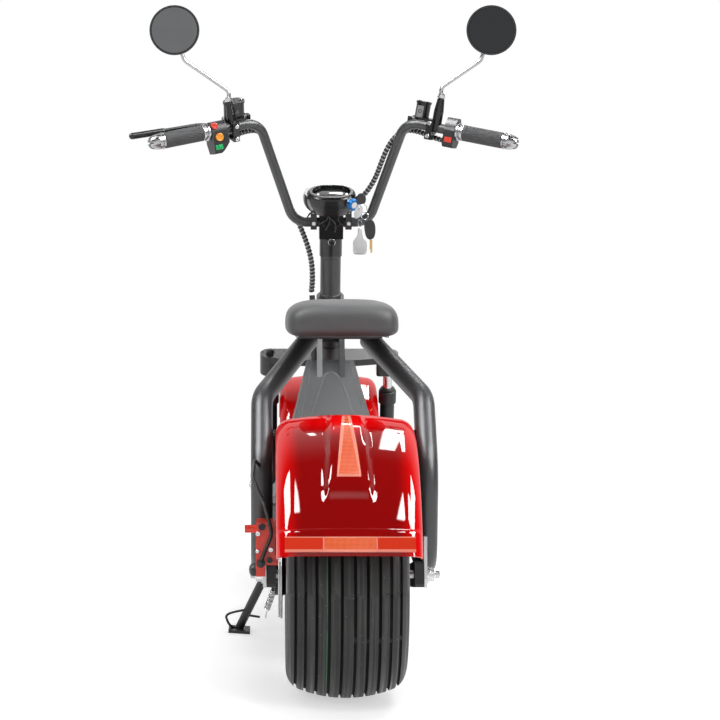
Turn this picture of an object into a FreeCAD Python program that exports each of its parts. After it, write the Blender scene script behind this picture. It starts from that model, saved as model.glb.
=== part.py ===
import FreeCAD, Part
import math
import os
import Sketcher

# Fat-tyred step-through electric scooter, seen parked on its side stand.
# The pieces are laid out upright, in millimetres: X to the right, Y forward, Z up,
# the rear axle above the origin; the last step leans the whole scooter onto its stand.

SIZES = (
    # name, value: millimetres, or degrees where the name ends in _angle
    ("wheelbase", 1250),
    ("fit", 0.2),
    # Wheels
    ("tyre_radius", 229),
    ("tread_half", 87),
    ("crown_radius", 250),
    ("shoulder_radius", 40),
    ("sidewall_radius", 110),
    ("bead_half", 96),
    ("rim_radius", 104),
    ("flange_radius", 110),
    ("flange_half", 101),
    ("rim_inner", 97),
    ("web_half", 8),
    ("front_hub_radius", 30),
    ("front_hub_half", 84),
    ("motor_radius", 86),
    ("motor_half", 56),
    ("motor_boss_radius", 30),
    ("motor_boss_half", 84),
    ("axle_radius", 7),
    ("axle_clear", 1),
    ("rear_axle_half", 180),
    ("disc_radius", 82),
    ("disc_thick", 4),
    ("disc_inner", 34),
    ("rear_disc_x", 119),
    ("front_disc_x", 104),
    # Steering geometry
    ("rake_angle", 22),
    ("fork_offset", 30),
    ("head_low", 389),
    ("head_high", 508),
    ("head_radius", 29),
    ("steerer_radius", 15),
    ("steerer_gap", 2),
    ("column_radius", 23.7),
    ("sleeve_length", 53),
    ("sleeve_under_bar", 32),
    ("sleeve_radius", 26),
    ("block_over_bar", 28),
    ("block_wide", 55),
    ("block_deep", 52),
    # Fork
    ("leg_x", 140),
    ("stanchion_radius", 11),
    ("leg_radius", 17),
    ("leg_low", 40),
    ("leg_high", 213),
    ("boot_radius", 21),
    ("boot_high", 247),
    ("crown_end", 24),
    ("boss_drop", 34),
    ("crown_low", 328),
    ("crown_high", 344),
    # Handlebar
    ("bar_radius", 11.1),
    ("bar_height", 696),
    ("bar_foot_x", 86),
    ("bar_top_x", 166),
    ("bar_top_back", 90.9),
    ("bar_top_rise", 229.7),
    ("bar_end_x", 403),
    ("bar_end_back", 196.9),
    ("bar_end_rise", 180.7),
    ("bar_low_bend", 42),
    ("bar_high_bend", 44),
    ("pod_start", 88),
    ("pod_end", 127),
    ("throttle_start", 102),
    ("collar_end", 143),
    ("grip_length", 93),
    ("grip_radius", 18),
    ("cap_length", 34),
    # Frame
    ("tube_radius", 21),
    ("tube_x", 158),
    ("tube_top_x", 63),
    ("tube_top_y", 372),
    ("tube_top_z", 647),
    ("tube_shoulder_y", 125),
    ("tube_shoulder_z", 553),
    ("tube_back_y", 14),
    ("tube_back_z", 425),
    ("tube_corner_y", 48),
    ("rail_z", 235),
    ("rail_end_back", 573.6),
    ("deck_rear_y", 366),
    ("deck_half", 180),
    ("deck_thick", 14),
    ("battery_half", 132),
    ("battery_rear_y", 352),
    ("battery_low_z", 122),
    ("arm_x", 140),
    ("arm_half", 9),
    ("arm_plate", 6.5),
    ("pivot_y", 330),
    ("pivot_z", 168),
    # Fenders
    ("rear_fender_half", 132),
    ("rear_fender_radius", 302),
    ("front_fender_half", 117),
    ("front_fender_radius", 266),
    ("fender_wall", 3),
    # Seat
    ("seat_half", 112),
    ("seat_low_z", 670),
    ("seat_high_z", 744),
    # Parked pose
    ("lean_angle", 4),
    ("park_x", 69),
    ("park_y", 587),
)


class Size:
    """A number of the sheet with the expression that gives it."""

    def __init__(self, value, text):
        self.value = float(value)
        self.text = text

    def __float__(self):
        return self.value

    def __neg__(self):
        return Size(-self.value, "(-" + self.text + ")")

    def __add__(self, other):
        other = sized(other)
        return Size(self.value + other.value, "(" + self.text + " + " + other.text + ")")

    def __radd__(self, other):
        return sized(other) + self

    def __sub__(self, other):
        other = sized(other)
        return Size(self.value - other.value, "(" + self.text + " - " + other.text + ")")

    def __rsub__(self, other):
        return sized(other) - self

    def __mul__(self, other):
        other = sized(other)
        return Size(self.value * other.value, "(" + self.text + " * " + other.text + ")")

    def __rmul__(self, other):
        return sized(other) * self

    def __truediv__(self, other):
        other = sized(other)
        return Size(self.value / other.value, "(" + self.text + " / " + other.text + ")")


def sized(number):
    if isinstance(number, Size):
        return number
    return Size(number, "(" + repr(float(number)) + ")")


def root(size):
    return Size(math.sqrt(size.value), "sqrt(" + size.text + ")")


class Sheet:
    """The sheet of driving sizes; each size is read by its name."""

    def __init__(self, doc):
        self.sheet = doc.addObject("Spreadsheet::Sheet", "sizes")
        for row, (name, value) in enumerate(SIZES, start=1):
            self.sheet.set("A" + str(row), name)
            self.sheet.set("B" + str(row), str(value))
            self.sheet.setAlias("B" + str(row), name)
        doc.recompute()

    def __getattr__(self, name):
        return Size(getattr(self.sheet, name), "sizes." + name)


doc = FreeCAD.newDocument("scooter")
d = Sheet(doc)
nodes = []
X = FreeCAD.Vector(1, 0, 0)


# Places

def vec(x, y, z):
    return FreeCAD.Vector(float(x), float(y), float(z))


def at(x, y, z, axis=X, angle=0.0):
    return FreeCAD.Placement(vec(x, y, z), FreeCAD.Rotation(axis, float(angle)))


def along(start, end, up=FreeCAD.Vector(0, 0, 1)):
    """Place whose local X runs from start to end and whose local Z looks up."""
    heading = (end - start).normalize()
    side = up.cross(heading).normalize()
    top = heading.cross(side)
    turn = FreeCAD.Rotation(heading, side, top, "XZY")
    return FreeCAD.Placement(start, turn)


RAKE = float(d.rake_angle)
AXIS_Y = float(d.wheelbase) - float(d.fork_offset) / math.cos(math.radians(RAKE))
STEER = at(0, AXIS_Y, d.tyre_radius, X, RAKE)
FORK_AXLE = STEER.inverse().multVec(vec(0, d.wheelbase, d.tyre_radius))
REAR_AXLE = at(0, 0, d.tyre_radius)
FRONT_AXLE = at(0, d.wheelbase, d.tyre_radius)
RAIL_END = AXIS_Y - float(d.rail_end_back)
BAR_FOOT = STEER.multVec(vec(0, 0, d.bar_height))
BAR_TOP = BAR_FOOT + vec(d.bar_top_x, -float(d.bar_top_back), d.bar_top_rise)
BAR_END = BAR_FOOT + vec(d.bar_end_x, -float(d.bar_end_back), d.bar_end_rise)
BLOCK_HIGH = d.bar_height + d.block_over_bar
SLEEVE_HIGH = d.bar_height - d.sleeve_under_bar
SLEEVE_LOW = SLEEVE_HIGH - d.sleeve_length


def parked():
    """The lean onto the side stand: about the wheels' centre line, tyre crowns on the floor."""
    lean = math.radians(float(d.lean_angle))
    crown = float(d.crown_radius)
    height = crown + (float(d.tyre_radius) - crown) * math.cos(lean)
    turn = FreeCAD.Rotation(FreeCAD.Vector(0, 1, 0), -float(d.lean_angle))
    move = vec(d.park_x, -float(d.park_y), height)
    return FreeCAD.Placement(move, turn) * at(0, 0, -float(d.tyre_radius))


LEAN = parked()


# Makers of shapes

def bind(thing, **sizes):
    for name, size in sizes.items():
        setattr(thing, name, float(size))
        if isinstance(size, Size):
            thing.setExpression(name, size.text)


def outline(body, name, role, points):
    """Closed outline on one of the body's own planes.

    A point is (x, y) or (x, y, r): r bends the edge that leads to the point,
    to the left of its way when r is positive and to the right when it is negative.
    """
    plane = [part for part in body.Origin.OriginFeatures if part.Role == role][0]
    sketch = body.newObject("Sketcher::SketchObject", name)
    sketch.AttachmentSupport = (plane, [""])
    sketch.MapMode = "FlatFace"
    spots = [FreeCAD.Vector(float(point[0]), float(point[1]), 0) for point in points]
    ends = []
    for index, point in enumerate(points):
        start, end = spots[index - 1], spots[index]
        if len(point) < 3:
            sketch.addGeometry(Part.LineSegment(start, end), False)
            ends.append((1, 2))
            continue
        radius = abs(float(point[2]))
        left = float(point[2]) > 0
        chord = end - start
        rise = math.sqrt(max(radius ** 2 - (chord.Length / 2) ** 2, 0.0))
        normal = FreeCAD.Vector(-chord.y, chord.x, 0).normalize()
        centre = (start + end) * 0.5 + normal * (rise if left else -rise)
        first, last = (start, end) if left else (end, start)
        low = math.atan2(first.y - centre.y, first.x - centre.x)
        high = math.atan2(last.y - centre.y, last.x - centre.x)
        if high < low:
            high += 2 * math.pi
        circle = Part.Circle(centre, FreeCAD.Vector(0, 0, 1), radius)
        sketch.addGeometry(Part.ArcOfCircle(circle, low, high), False)
        ends.append((1, 2) if left else (2, 1))
    for index, point in enumerate(points):
        after = (index + 1) % len(points)
        sketch.addConstraint(Sketcher.Constraint(
            "Coincident", index, ends[index][1], after, ends[after][0]))
        for number, kind, own in ((0, "DistanceX", -2), (1, "DistanceY", -1)):
            size = sized(point[number])
            if size.value == 0:
                sketch.addConstraint(Sketcher.Constraint(
                    "PointOnObject", index, ends[index][1], own))
                continue
            row = sketch.addConstraint(Sketcher.Constraint(
                kind, -1, 1, index, ends[index][1], size.value))
            sketch.setExpression("Constraints[" + str(row) + "]", size.text)
        if len(point) == 3:
            radius = sized(point[2])
            if radius.value < 0:
                radius = -radius
            row = sketch.addConstraint(Sketcher.Constraint("Radius", index, radius.value))
            sketch.setExpression("Constraints[" + str(row) + "]", radius.text)
    return sketch


def turned(name, points, place=FreeCAD.Placement(), angle=360):
    """Body turned about its own X axis from an outline of (along, radius) points."""
    body = doc.addObject("PartDesign::Body", name)
    sketch = outline(body, name + "_outline", "XY_Plane", points)
    turn = body.newObject("PartDesign::Revolution", name + "_turn")
    turn.Profile = sketch
    turn.ReferenceAxis = (sketch, ["H_Axis"])
    bind(turn, Angle=angle)
    sketch.Visibility = False
    body.Placement = place
    return body


def slab(name, role, points, thick, place=FreeCAD.Placement()):
    """Body padded to both sides of one of its planes from an outline on it."""
    body = doc.addObject("PartDesign::Body", name)
    sketch = outline(body, name + "_outline", role, points)
    pad = body.newObject("PartDesign::Pad", name + "_pad")
    pad.Profile = sketch
    pad.SideType = "Symmetric"
    bind(pad, Length=thick)
    sketch.Visibility = False
    body.Placement = place
    return body


def cylinder(name, radius, length, place):
    """Round bar along the place's own X axis, from its origin."""
    bar = doc.addObject("Part::Cylinder", name)
    bind(bar, Radius=radius, Height=length)
    bar.Placement = place * FreeCAD.Placement(FreeCAD.Vector(), FreeCAD.Rotation(FreeCAD.Vector(0, 1, 0), 90))
    return bar


def box(name, wide, deep, high, place):
    """Block centred on the place."""
    block = doc.addObject("Part::Box", name)
    bind(block, Length=wide, Width=deep, Height=high)
    block.Placement = place * at(-float(wide) / 2, -float(deep) / 2, -float(high) / 2)
    return block


def fused(name, things):
    joined = doc.addObject("Part::MultiFuse", name)
    joined.Shapes = list(things)
    return joined


def cut(name, base, *tools):
    for index, tool in enumerate(tools):
        hole = doc.addObject("Part::Cut", name if index == len(tools) - 1 else name + "_cut" + str(index))
        hole.Base = base
        hole.Tool = tool
        base = hole
    return base


def common(name, first, second):
    both = doc.addObject("Part::Common", name)
    both.Base = first
    both.Tool = second
    return both


def mirrored(name, source):
    other = doc.addObject("Part::Mirroring", name)
    other.Source = source
    other.Base = FreeCAD.Vector()
    other.Normal = X
    return other


def route(points, bends):
    """One wire of straight runs joined by tangent arcs."""
    edges = []
    start = points[0]
    for index in range(1, len(points) - 1):
        corner = points[index]
        back = (points[index - 1] - corner).normalize()
        ahead = (points[index + 1] - corner).normalize()
        half = math.acos(max(-1.0, min(1.0, back.dot(ahead)))) / 2
        radius = bends[index - 1]
        reach = radius / math.tan(half)
        first = corner + back * reach
        last = corner + ahead * reach
        middle = (back + ahead).normalize()
        crest = corner + middle * (radius / math.sin(half) - radius)
        if (first - start).Length > 1e-6:
            edges.append(Part.LineSegment(start, first).toShape())
        edges.append(Part.Arc(first, crest, last).toShape())
        start = last
    edges.append(Part.LineSegment(start, points[-1]).toShape())
    return Part.Wire(edges)


def swept(name, radius, points, bends):
    """Round tube, cable or rod along its route."""
    radius = float(radius)
    points = [vec(*point) for point in points]
    wire = route(points, [float(bend) for bend in bends])
    ring = Part.Wire(Part.makeCircle(radius, points[0], points[1] - points[0]))
    shape = wire.makePipeShell([ring], True, False)
    wanted = math.pi * radius ** 2 * wire.Length
    if abs(shape.Volume - wanted) > 0.01 * wanted:
        raise ValueError(name + ": the sweep is not whole")
    feature = doc.addObject("Part::Feature", name)
    feature.Shape = shape
    return feature


def flipped(points):
    return [(-float(x), y, z) for x, y, z in points]


def node(name, *things):
    """Name a sub-part and lean it with the rest of the scooter."""
    if len(things) == 1 and things[0].TypeId != "Part::Mirroring":
        piece = things[0]
        piece.Placement = LEAN * piece.Placement
    else:
        piece = doc.addObject("Part::Compound", name + "_set")
        piece.Links = list(things)
        piece.Placement = LEAN
    piece.Label = name
    nodes.append(piece)
    return piece


def standing(name, *things):
    """Name a sub-part that is laid out where it stands, without the lean."""
    piece = doc.addObject("Part::Compound", name + "_set")
    piece.Links = list(things)
    piece.Label = name
    nodes.append(piece)
    return piece


# Wheels

def tyre(name, place):
    crown = d.crown_radius
    reach = root(crown * crown - d.tread_half * d.tread_half)
    shrink = 1 - d.shoulder_radius / crown
    side_x = d.tread_half * shrink + d.shoulder_radius
    side_r = d.tyre_radius - crown + reach * shrink
    tread_r = d.tyre_radius - crown + reach
    bead = d.bead_half
    points = (
        (-bead, d.rim_radius, ),
        (bead, d.rim_radius),
        (bead, d.flange_radius + 1),
        (side_x, side_r, d.sidewall_radius),
        (d.tread_half, tread_r, d.shoulder_radius),
        (-d.tread_half, tread_r, crown),
        (-side_x, side_r, d.shoulder_radius),
        (-bead, d.flange_radius + 1, d.sidewall_radius),
    )
    return turned(name, points, place)


def rear_rim():
    half, lip = d.bead_half + d.fit, d.flange_half
    seat = d.rim_radius - d.fit
    points = (
        (-lip, d.flange_radius), (-half, d.flange_radius), (-half, seat),
        (half, seat), (half, d.flange_radius), (lip, d.flange_radius),
        (lip, d.rim_inner), (d.web_half, d.rim_inner - 3), (d.web_half, d.motor_radius + d.fit),
        (-d.web_half, d.motor_radius + d.fit), (-d.web_half, d.rim_inner - 3), (-lip, d.rim_inner),
    )
    return turned("rear_rim", points, REAR_AXLE)


def front_rim():
    half, lip = d.bead_half + d.fit, d.flange_half
    seat = d.rim_radius - d.fit
    bore = d.axle_radius + d.axle_clear
    points = (
        (-lip, d.flange_radius), (-half, d.flange_radius), (-half, seat),
        (half, seat), (half, d.flange_radius), (lip, d.flange_radius),
        (lip, d.rim_inner), (d.web_half, d.rim_inner - 4), (d.web_half, d.front_hub_radius + 4),
        (d.front_hub_half, d.front_hub_radius), (d.front_hub_half, bore),
        (-d.front_hub_half, bore), (-d.front_hub_half, d.front_hub_radius),
        (-d.web_half, d.front_hub_radius + 4), (-d.web_half, d.rim_inner - 4), (-lip, d.rim_inner),
    )
    return turned("front_rim", points, FRONT_AXLE)


def hub_motor():
    bore = d.axle_radius + d.axle_clear
    points = (
        (-d.motor_boss_half, bore), (d.motor_boss_half, bore),
        (d.motor_boss_half, d.motor_boss_radius), (d.motor_half + 8, d.motor_boss_radius + 6),
        (d.motor_half, d.motor_radius - 10), (d.motor_half - 6, d.motor_radius),
        (6 - d.motor_half, d.motor_radius), (-d.motor_half, d.motor_radius - 10),
        (-d.motor_half - 8, d.motor_boss_radius + 6), (-d.motor_boss_half, d.motor_boss_radius),
    )
    return turned("hub_motor", points, REAR_AXLE)


def brake_disc(name, place, disc_x, hub_half, hub_radius):
    """Disc with its carrier reaching in to the hub's end face."""
    bore = d.axle_radius + d.axle_clear
    near = -hub_half - d.fit
    inner = -disc_x
    outer = -disc_x - d.disc_thick
    points = (
        (near, bore), (near, hub_radius), (inner, hub_radius + 6), (inner, d.disc_radius),
        (outer, d.disc_radius), (outer, bore),
    )
    return turned(name, points, place)


def wheels():
    node("rear_tyre", tyre("rear_tyre", REAR_AXLE))
    node("rear_rim", rear_rim())
    node("hub_motor", hub_motor())
    node("rear_brake_disc", brake_disc("rear_brake_disc", REAR_AXLE, d.rear_disc_x,
                                       d.motor_boss_half, d.motor_boss_radius - 4))
    node("front_tyre", tyre("front_tyre", FRONT_AXLE))
    node("front_rim", front_rim())
    node("front_brake_disc", brake_disc("front_brake_disc", FRONT_AXLE, d.front_disc_x,
                                        d.front_hub_half, d.front_hub_radius - 4))


# Frame

TUBE_BENDS = (75, 100, 60)


def tube_route(side):
    """Under the saddle, out and back round the wheel, down beside the axle, then forward as a rail."""
    return (
        (side * d.tube_top_x, d.tube_top_y, d.tube_top_z),
        (side * d.tube_x, d.tube_shoulder_y, d.tube_shoulder_z),
        (side * d.tube_x, d.tube_back_y, d.tube_back_z),
        (side * d.tube_x, d.tube_corner_y, d.rail_z),
        (side * d.tube_x, RAIL_END, d.rail_z),
    )


def frame_tube(side):
    """One bent tube of the frame."""
    name = "frame_tube_right" if side > 0 else "frame_tube_left"
    return swept(name, d.tube_radius, tube_route(side), TUBE_BENDS)


def tube_room(name):
    """The first straight run of both frame tubes with the fit round it, for cutting their seats."""
    high = vec(d.tube_top_x, d.tube_top_y, d.tube_top_z)
    low = vec(d.tube_x, d.tube_shoulder_y, d.tube_shoulder_z)
    reach = (low - high).Length
    right = cylinder(name + "_right", d.tube_radius + d.fit, reach + 4, along(high, low) * at(-4, 0, 0))
    return fused(name, (right, mirrored(name + "_left", right)))


def deck():
    rear, front = d.deck_rear_y, sized(RAIL_END)
    low = d.rail_z + d.tube_radius + d.fit
    half = d.deck_half
    points = (
        (-half, rear + 30), (-half + 30, rear, 30), (half - 30, rear), (half, rear + 30, 30),
        (half, front), (-half, front),
    )
    plate = slab("deck_plate", "XY_Plane", points, d.deck_thick, at(0, 0, low + d.deck_thick / 2))
    node("deck_plate", plate)
    top = float(low + d.deck_thick)
    mat_points = (
        (-half + 12, rear + 40), (-half + 40, rear + 14, 28), (half - 40, rear + 14),
        (half - 12, rear + 40, 28), (half - 12, front - 50), (-half + 12, front - 50),
    )
    node("deck_mat", slab("deck_mat", "XY_Plane", mat_points, 3, at(0, 0, top + 1.5 + 0.1)))


def battery():
    low, high = d.battery_low_z, d.rail_z + d.tube_radius
    rear, front = d.battery_rear_y, sized(RAIL_END)
    points = (
        (rear, low + 20), (rear + 20, low, 20), (front - 40, low), (front, low + 40, 40),
        (front, high), (rear, high),
    )
    return slab("battery_box", "YZ_Plane", points, 2 * d.battery_half)


def neck():
    """Tapered panel box from the deck up to the head tube."""
    # distance ahead of the deck's front edge, height
    profile = ((0.3, 214), (86, 214), (146, 262), (368, 492), (372, 542), (356, 553), (-44, 278), (-44, 270.6),
               (0.3, 270.6))
    side = slab("neck_side", "YZ_Plane", tuple((RAIL_END + ahead, z) for ahead, z in profile), 400)
    front = slab("neck_front", "XZ_Plane", (
        (-178, 200), (178, 200), (178, 262), (130, 292), (80, 455), (52, 560),
        (-52, 560), (-80, 455), (-130, 292), (-178, 262)), 1100, at(0, RAIL_END + 256, 0))
    return common("neck", side, front)


def head_tube():
    bore = d.steerer_radius + d.steerer_gap
    length = d.head_high - d.head_low
    points = ((0, bore), (0, d.head_radius + 3), (14, d.head_radius + 3), (16, d.head_radius),
              (length - 16, d.head_radius), (length - 14, d.head_radius + 3),
              (length, d.head_radius + 3), (length, bore))
    place = STEER * FreeCAD.Placement(vec(0, 0, d.head_low), FreeCAD.Rotation(FreeCAD.Vector(0, 1, 0), -90))
    return turned("head_tube", points, place)


def gussets():
    """Two plates that carry the head tube on the neck."""
    # distance ahead of the deck's front edge, height
    profile = ((304, 517.7), (356, 553.4), (372.3, 542.3), (380, 580), (414, 596), (387, 690), (356, 690))
    plate = slab("gusset", "YZ_Plane", tuple((RAIL_END + ahead, z) for ahead, z in profile), 12, at(26, 0, 0))
    keep = cylinder("gusset_bore", d.head_radius + 3 + d.fit, 400,
                    STEER * FreeCAD.Placement(vec(0, 0, 300), FreeCAD.Rotation(FreeCAD.Vector(0, 1, 0), -90)))
    return cut("gusset_right", plate, keep)


def rear_arms():
    """Two arms fixed to the frame by a cross tube and laid against the rails, ending in a block at the axle."""
    axle = vec(d.arm_x, 0, d.tyre_radius)
    pivot = vec(d.arm_x, d.pivot_y, d.pivot_z)
    length = (pivot - axle).Length
    points = ((-34, -18), (-28, -24), (40, -24), (length - 30, -18), (length + 14, -18),
              (length + 14, 18), (length - 30, 18), (40, 24), (-28, 24), (-34, 18))
    arm = slab("arm_flat", "XZ_Plane", points, 2 * d.arm_half, along(axle, pivot))
    bore = cylinder("arm_bore", d.axle_radius + d.fit, 60, at(d.arm_x - 30, 0, d.tyre_radius))
    rail = swept("rail_room", d.tube_radius + d.fit, tube_route(1), TUBE_BENDS)
    right = cut("arm_right", arm, bore, rail)
    left = mirrored("arm_left", right)
    inner = d.arm_x - d.arm_half + 2
    cross = cylinder("arm_cross", 14, 2 * inner, at(-inner, d.pivot_y, d.pivot_z))
    return fused("rear_arms", (right, left, cross))


def arm_lugs():
    """Lugs on the battery box's back that hold the arms' cross tube."""
    points = ((d.battery_rear_y - 0.3, 128), (d.battery_rear_y - 0.3, 212), (d.pivot_y - 6, 200),
              (d.pivot_y - 24, d.pivot_z + 10), (d.pivot_y - 24, d.pivot_z - 10), (d.pivot_y - 6, 136))
    plate = slab("arm_lug", "YZ_Plane", points, 10, at(96, 0, 0))
    bore = cylinder("arm_lug_bore", 14 + d.fit, 60, at(66, d.pivot_y, d.pivot_z))
    return cut("arm_lug_right", plate, bore)


def axle_bar(name, half, nut_from, place):
    """Axle with a nut and its washer outside each arm or leg."""
    nut, low = 12, nut_from + d.fit
    points = (
        (-half, 0), (-half, d.axle_radius - 1), (-half + 1, d.axle_radius), (-low - 13, d.axle_radius),
        (-low - 13, nut), (-low - 3, nut), (-low - 3, nut + 4), (-low, nut + 4), (-low, d.axle_radius),
        (low, d.axle_radius), (low, nut + 4), (low + 3, nut + 4), (low + 3, nut), (low + 13, nut),
        (low + 13, d.axle_radius), (half - 1, d.axle_radius), (half, d.axle_radius - 1), (half, 0),
    )
    return turned(name, points, place)


def shell_outline(half, radius, wall, corner, rise, skirt):
    """Arched channel section of a fender: rounded shoulders over two short skirts."""
    flat = half - corner
    bend = (flat * flat + rise * rise) / (2 * rise)
    inner = half - wall
    shoulder = radius - rise
    low = shoulder - corner
    return (
        (half, low - skirt), (half, low), (flat, shoulder, corner), (-flat, shoulder, bend),
        (-half, low, corner), (-half, low - skirt), (-inner, low - skirt), (-inner, low),
        (-flat, shoulder - wall, -(corner - wall)), (flat, shoulder - wall, -(bend - wall)),
        (inner, low, -(corner - wall)), (inner, low - skirt),
    )


def sector(name, points, centre, first, last):
    """Outline turned about the wheel's axle from one angle to another, 0 ahead and 90 on top."""
    return turned(name, points, centre * at(0, 0, 0, X, first), last - first)


REAR_FIRST, REAR_LAST = 38, 164


def rear_fender():
    """Arched shell with the raised hump at its back that carries the tail lamp."""
    shell = sector("rear_shell", shell_outline(d.rear_fender_half, d.rear_fender_radius,
                                               d.fender_wall, 30, 8, 14), REAR_AXLE, REAR_FIRST, REAR_LAST)
    radius = d.rear_fender_radius
    ring = sector("hump_ring", ((-60, radius - 2), (60, radius - 2), (60, radius + 11), (-60, radius + 11)),
                  REAR_AXLE, 96, 142)
    middle = REAR_AXLE * at(0, 0, 0, X, 119) * at(0, radius, 0)
    wedge = slab("hump_wedge", "XZ_Plane", ((-30, -140), (30, -140), (43, 130), (-43, 130)), 160, middle)
    hump = common("hump", ring, wedge)
    half = d.rear_fender_half
    band = sector("fender_band", ((-half, radius - 4), (half, radius - 4), (half, radius + 3), (half - 3, radius + 5),
                                  (-half + 3, radius + 5), (-half, radius + 3)), REAR_AXLE, 155, 165)
    return fused("rear_fender", (shell, hump, band))


def tail_lamp():
    radius = d.rear_fender_radius + 11 + d.fit
    ring = sector("tail_ring", ((-40, radius), (40, radius), (40, radius + 4), (-40, radius + 4)),
                  REAR_AXLE, 101, 134)
    middle = REAR_AXLE * at(0, 0, 0, X, 117.5) * at(0, radius, 0)
    wedge = slab("tail_wedge", "XZ_Plane", ((-8, -90), (8, -90), (20, 86), (-20, 86)), 160, middle)
    return common("tail_lamp", ring, wedge)


def reflector_strip():
    middle = REAR_AXLE * at(0, 0, 0, X, 160.4) * at(0, d.rear_fender_radius + 5 + 3.5 + d.fit, 0)
    return box("reflector_strip", 2 * 116.5, 7, 27, middle)


def fender_stays():
    gap = d.tube_x - d.tube_radius - d.rear_fender_half - 2 * d.fit
    return cylinder("fender_stay", 8, gap, at(d.rear_fender_half + d.fit, 67, 488))


def front_fender():
    shell = sector("front_fender_shell", shell_outline(d.front_fender_half, d.front_fender_radius,
                                                 d.fender_wall, 26, 7, 8), FRONT_AXLE, 40, 158)
    return shell


def wire_of(points, place):
    """Closed wire of straight lines and arcs in a place's own XY plane; points as in outline()."""
    edges = []
    spots = [FreeCAD.Vector(float(point[0]), float(point[1]), 0) for point in points]
    for index, point in enumerate(points):
        start, end = spots[index - 1], spots[index]
        if len(point) < 3:
            edges.append(Part.LineSegment(place.multVec(start), place.multVec(end)).toShape())
            continue
        radius = float(point[2])
        chord = end - start
        rise = math.sqrt(max(radius ** 2 - (chord.Length / 2) ** 2, 0.0))
        normal = FreeCAD.Vector(-chord.y, chord.x, 0).normalize()
        lift = (abs(radius) - rise) * (-1 if radius > 0 else 1)
        crest = (start + end) * 0.5 + normal * lift
        edges.append(Part.Arc(place.multVec(start), place.multVec(crest), place.multVec(end)).toShape())
    return Part.Wire(edges)


def across(y):
    """Place whose XY plane stands across the scooter, looking back along it."""
    return at(0, y, 0, X, 90)


def saddle_section(half, low, high, foot, shoulder):
    """Flat pan edge, sides that are widest low down and lean in, rounded shoulders and a crowned top."""
    side = half - 5
    flat = side - shoulder
    rise = flat * 0.09
    top = high - rise
    waist = low + (high - low) * 0.34
    return (
        (half - foot - 2, low), (half - 2, low + foot, foot), (half, waist), (side, top - shoulder),
        (flat, top, shoulder), (-flat, top, (flat * flat + rise * rise) / (2 * rise)),
        (-side, top - shoulder, shoulder), (-half, waist), (-half + 2, low + foot),
        (-half + foot + 2, low, foot),
    )


def saddle():
    """Padded saddle: lofted through crowned sections from its wide tail to its nose."""
    low, high, half = float(d.seat_low_z), float(d.seat_high_z), float(d.seat_half)
    # y, share of the half width, bottom above the pan, top below the crest, foot, shoulder
    rows = (
        (88, 0.68, 14, 22, 5, 12), (98, 0.86, 4, 11, 7, 18), (122, 0.97, 0, 3, 8, 24), (180, 1.0, 0, 0, 8, 26),
        (320, 0.99, 0, 3, 8, 26), (420, 0.84, 0, 9, 8, 22), (496, 0.60, 3, 17, 7, 17), (520, 0.42, 10, 27, 5, 10),
    )
    wires = [wire_of(saddle_section(half * share, low + up, high - down, foot, shoulder), across(y))
             for y, share, up, down, foot, shoulder in rows]
    cushion = doc.addObject("Part::Feature", "cushion")
    cushion.Shape = Part.makeLoft(wires, True, False)
    return cut("saddle", cushion, box("saddle_level", 400, 400, 40, at(0, 270, low - 20)))


def seat_base():
    """Pan under the padding, with the block that joins the frame tubes' top ends."""
    points = ((-80, 175), (80, 175), (80, 400), (50, 470), (-50, 470), (-80, 400))
    high = d.seat_low_z - 0.3
    pan = slab("seat_pan", "XY_Plane", points, 5, at(0, 0, high - 2.5))
    block = box("seat_block", 160, 80, 17, at(0, d.tube_top_y - 17, high - 8.5))
    return cut("seat_base", fused("seat_whole", (pan, block)), tube_room("pan_room"))


def axle_plates():
    """Torque plate outside each arm; the left one's ear carries the caliper."""
    inner = d.arm_x + d.arm_half + d.fit
    bore = cylinder("axle_plate_bore", d.axle_radius + d.fit, 400, at(-200, 0, d.tyre_radius))
    foot = ((-18, -22), (18, -22), (22, -6), (18, 26), (12, 74))
    plain, ear = ((-12, 74), (-18, 26), (-22, -6)), ((-28, 92), (-39, 80), (-39, 56), (-20, 30), (-22, -6))
    plates = []
    for side, rest in ((1, plain), (-1, ear)):
        place = at(side * (inner + d.arm_plate / 2), 0, d.tyre_radius)
        plates.append(cut("axle_plate", slab("axle_plate_flat", "YZ_Plane", foot + rest, d.arm_plate, place), bore))
    return plates


def rear_caliper():
    """Two-part caliper over the back of the disc, with its lug, bleed block and lower web."""
    body = box("caliper_block", 36, 50, 78, at(-151, -47, 300))
    bridge = box("caliper_bridge", 62, 38, 22, at(-138, -50, 322))
    inner = box("caliper_inner", 9, 40, 60, at(-112, -50, 302))
    lug = cylinder("caliper_lug", 7.5, 22, at(-190, -46, 323))
    bleed = box("caliper_bleed", 18, 22, 28, at(-160, -52, 250))
    web = box("caliper_web", 50, 14, 16, at(-142, -60, 266))
    whole = fused("caliper_whole", (body, bridge, inner, lug, bleed, web))
    slot = cylinder("caliper_slot", d.disc_radius + 3, 9, at(-d.rear_disc_x - d.disc_thick - 2.5, 0, d.tyre_radius))
    room = box("plate_room", d.arm_plate + 2 * d.fit, 80, 160,
               at(-(d.arm_x + d.arm_half + d.fit + d.arm_plate / 2), 0, d.tyre_radius + 20))
    axle, pivot = vec(-d.arm_x, 0, d.tyre_radius), vec(-d.arm_x, d.pivot_y, d.pivot_z)
    arm = box("arm_room", 160, 2 * d.arm_half + 2 * d.fit, 48 + 2 * d.fit, along(axle, pivot) * at(20, 0, 0))
    return cut("rear_caliper", whole, slot, room, arm)


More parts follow.
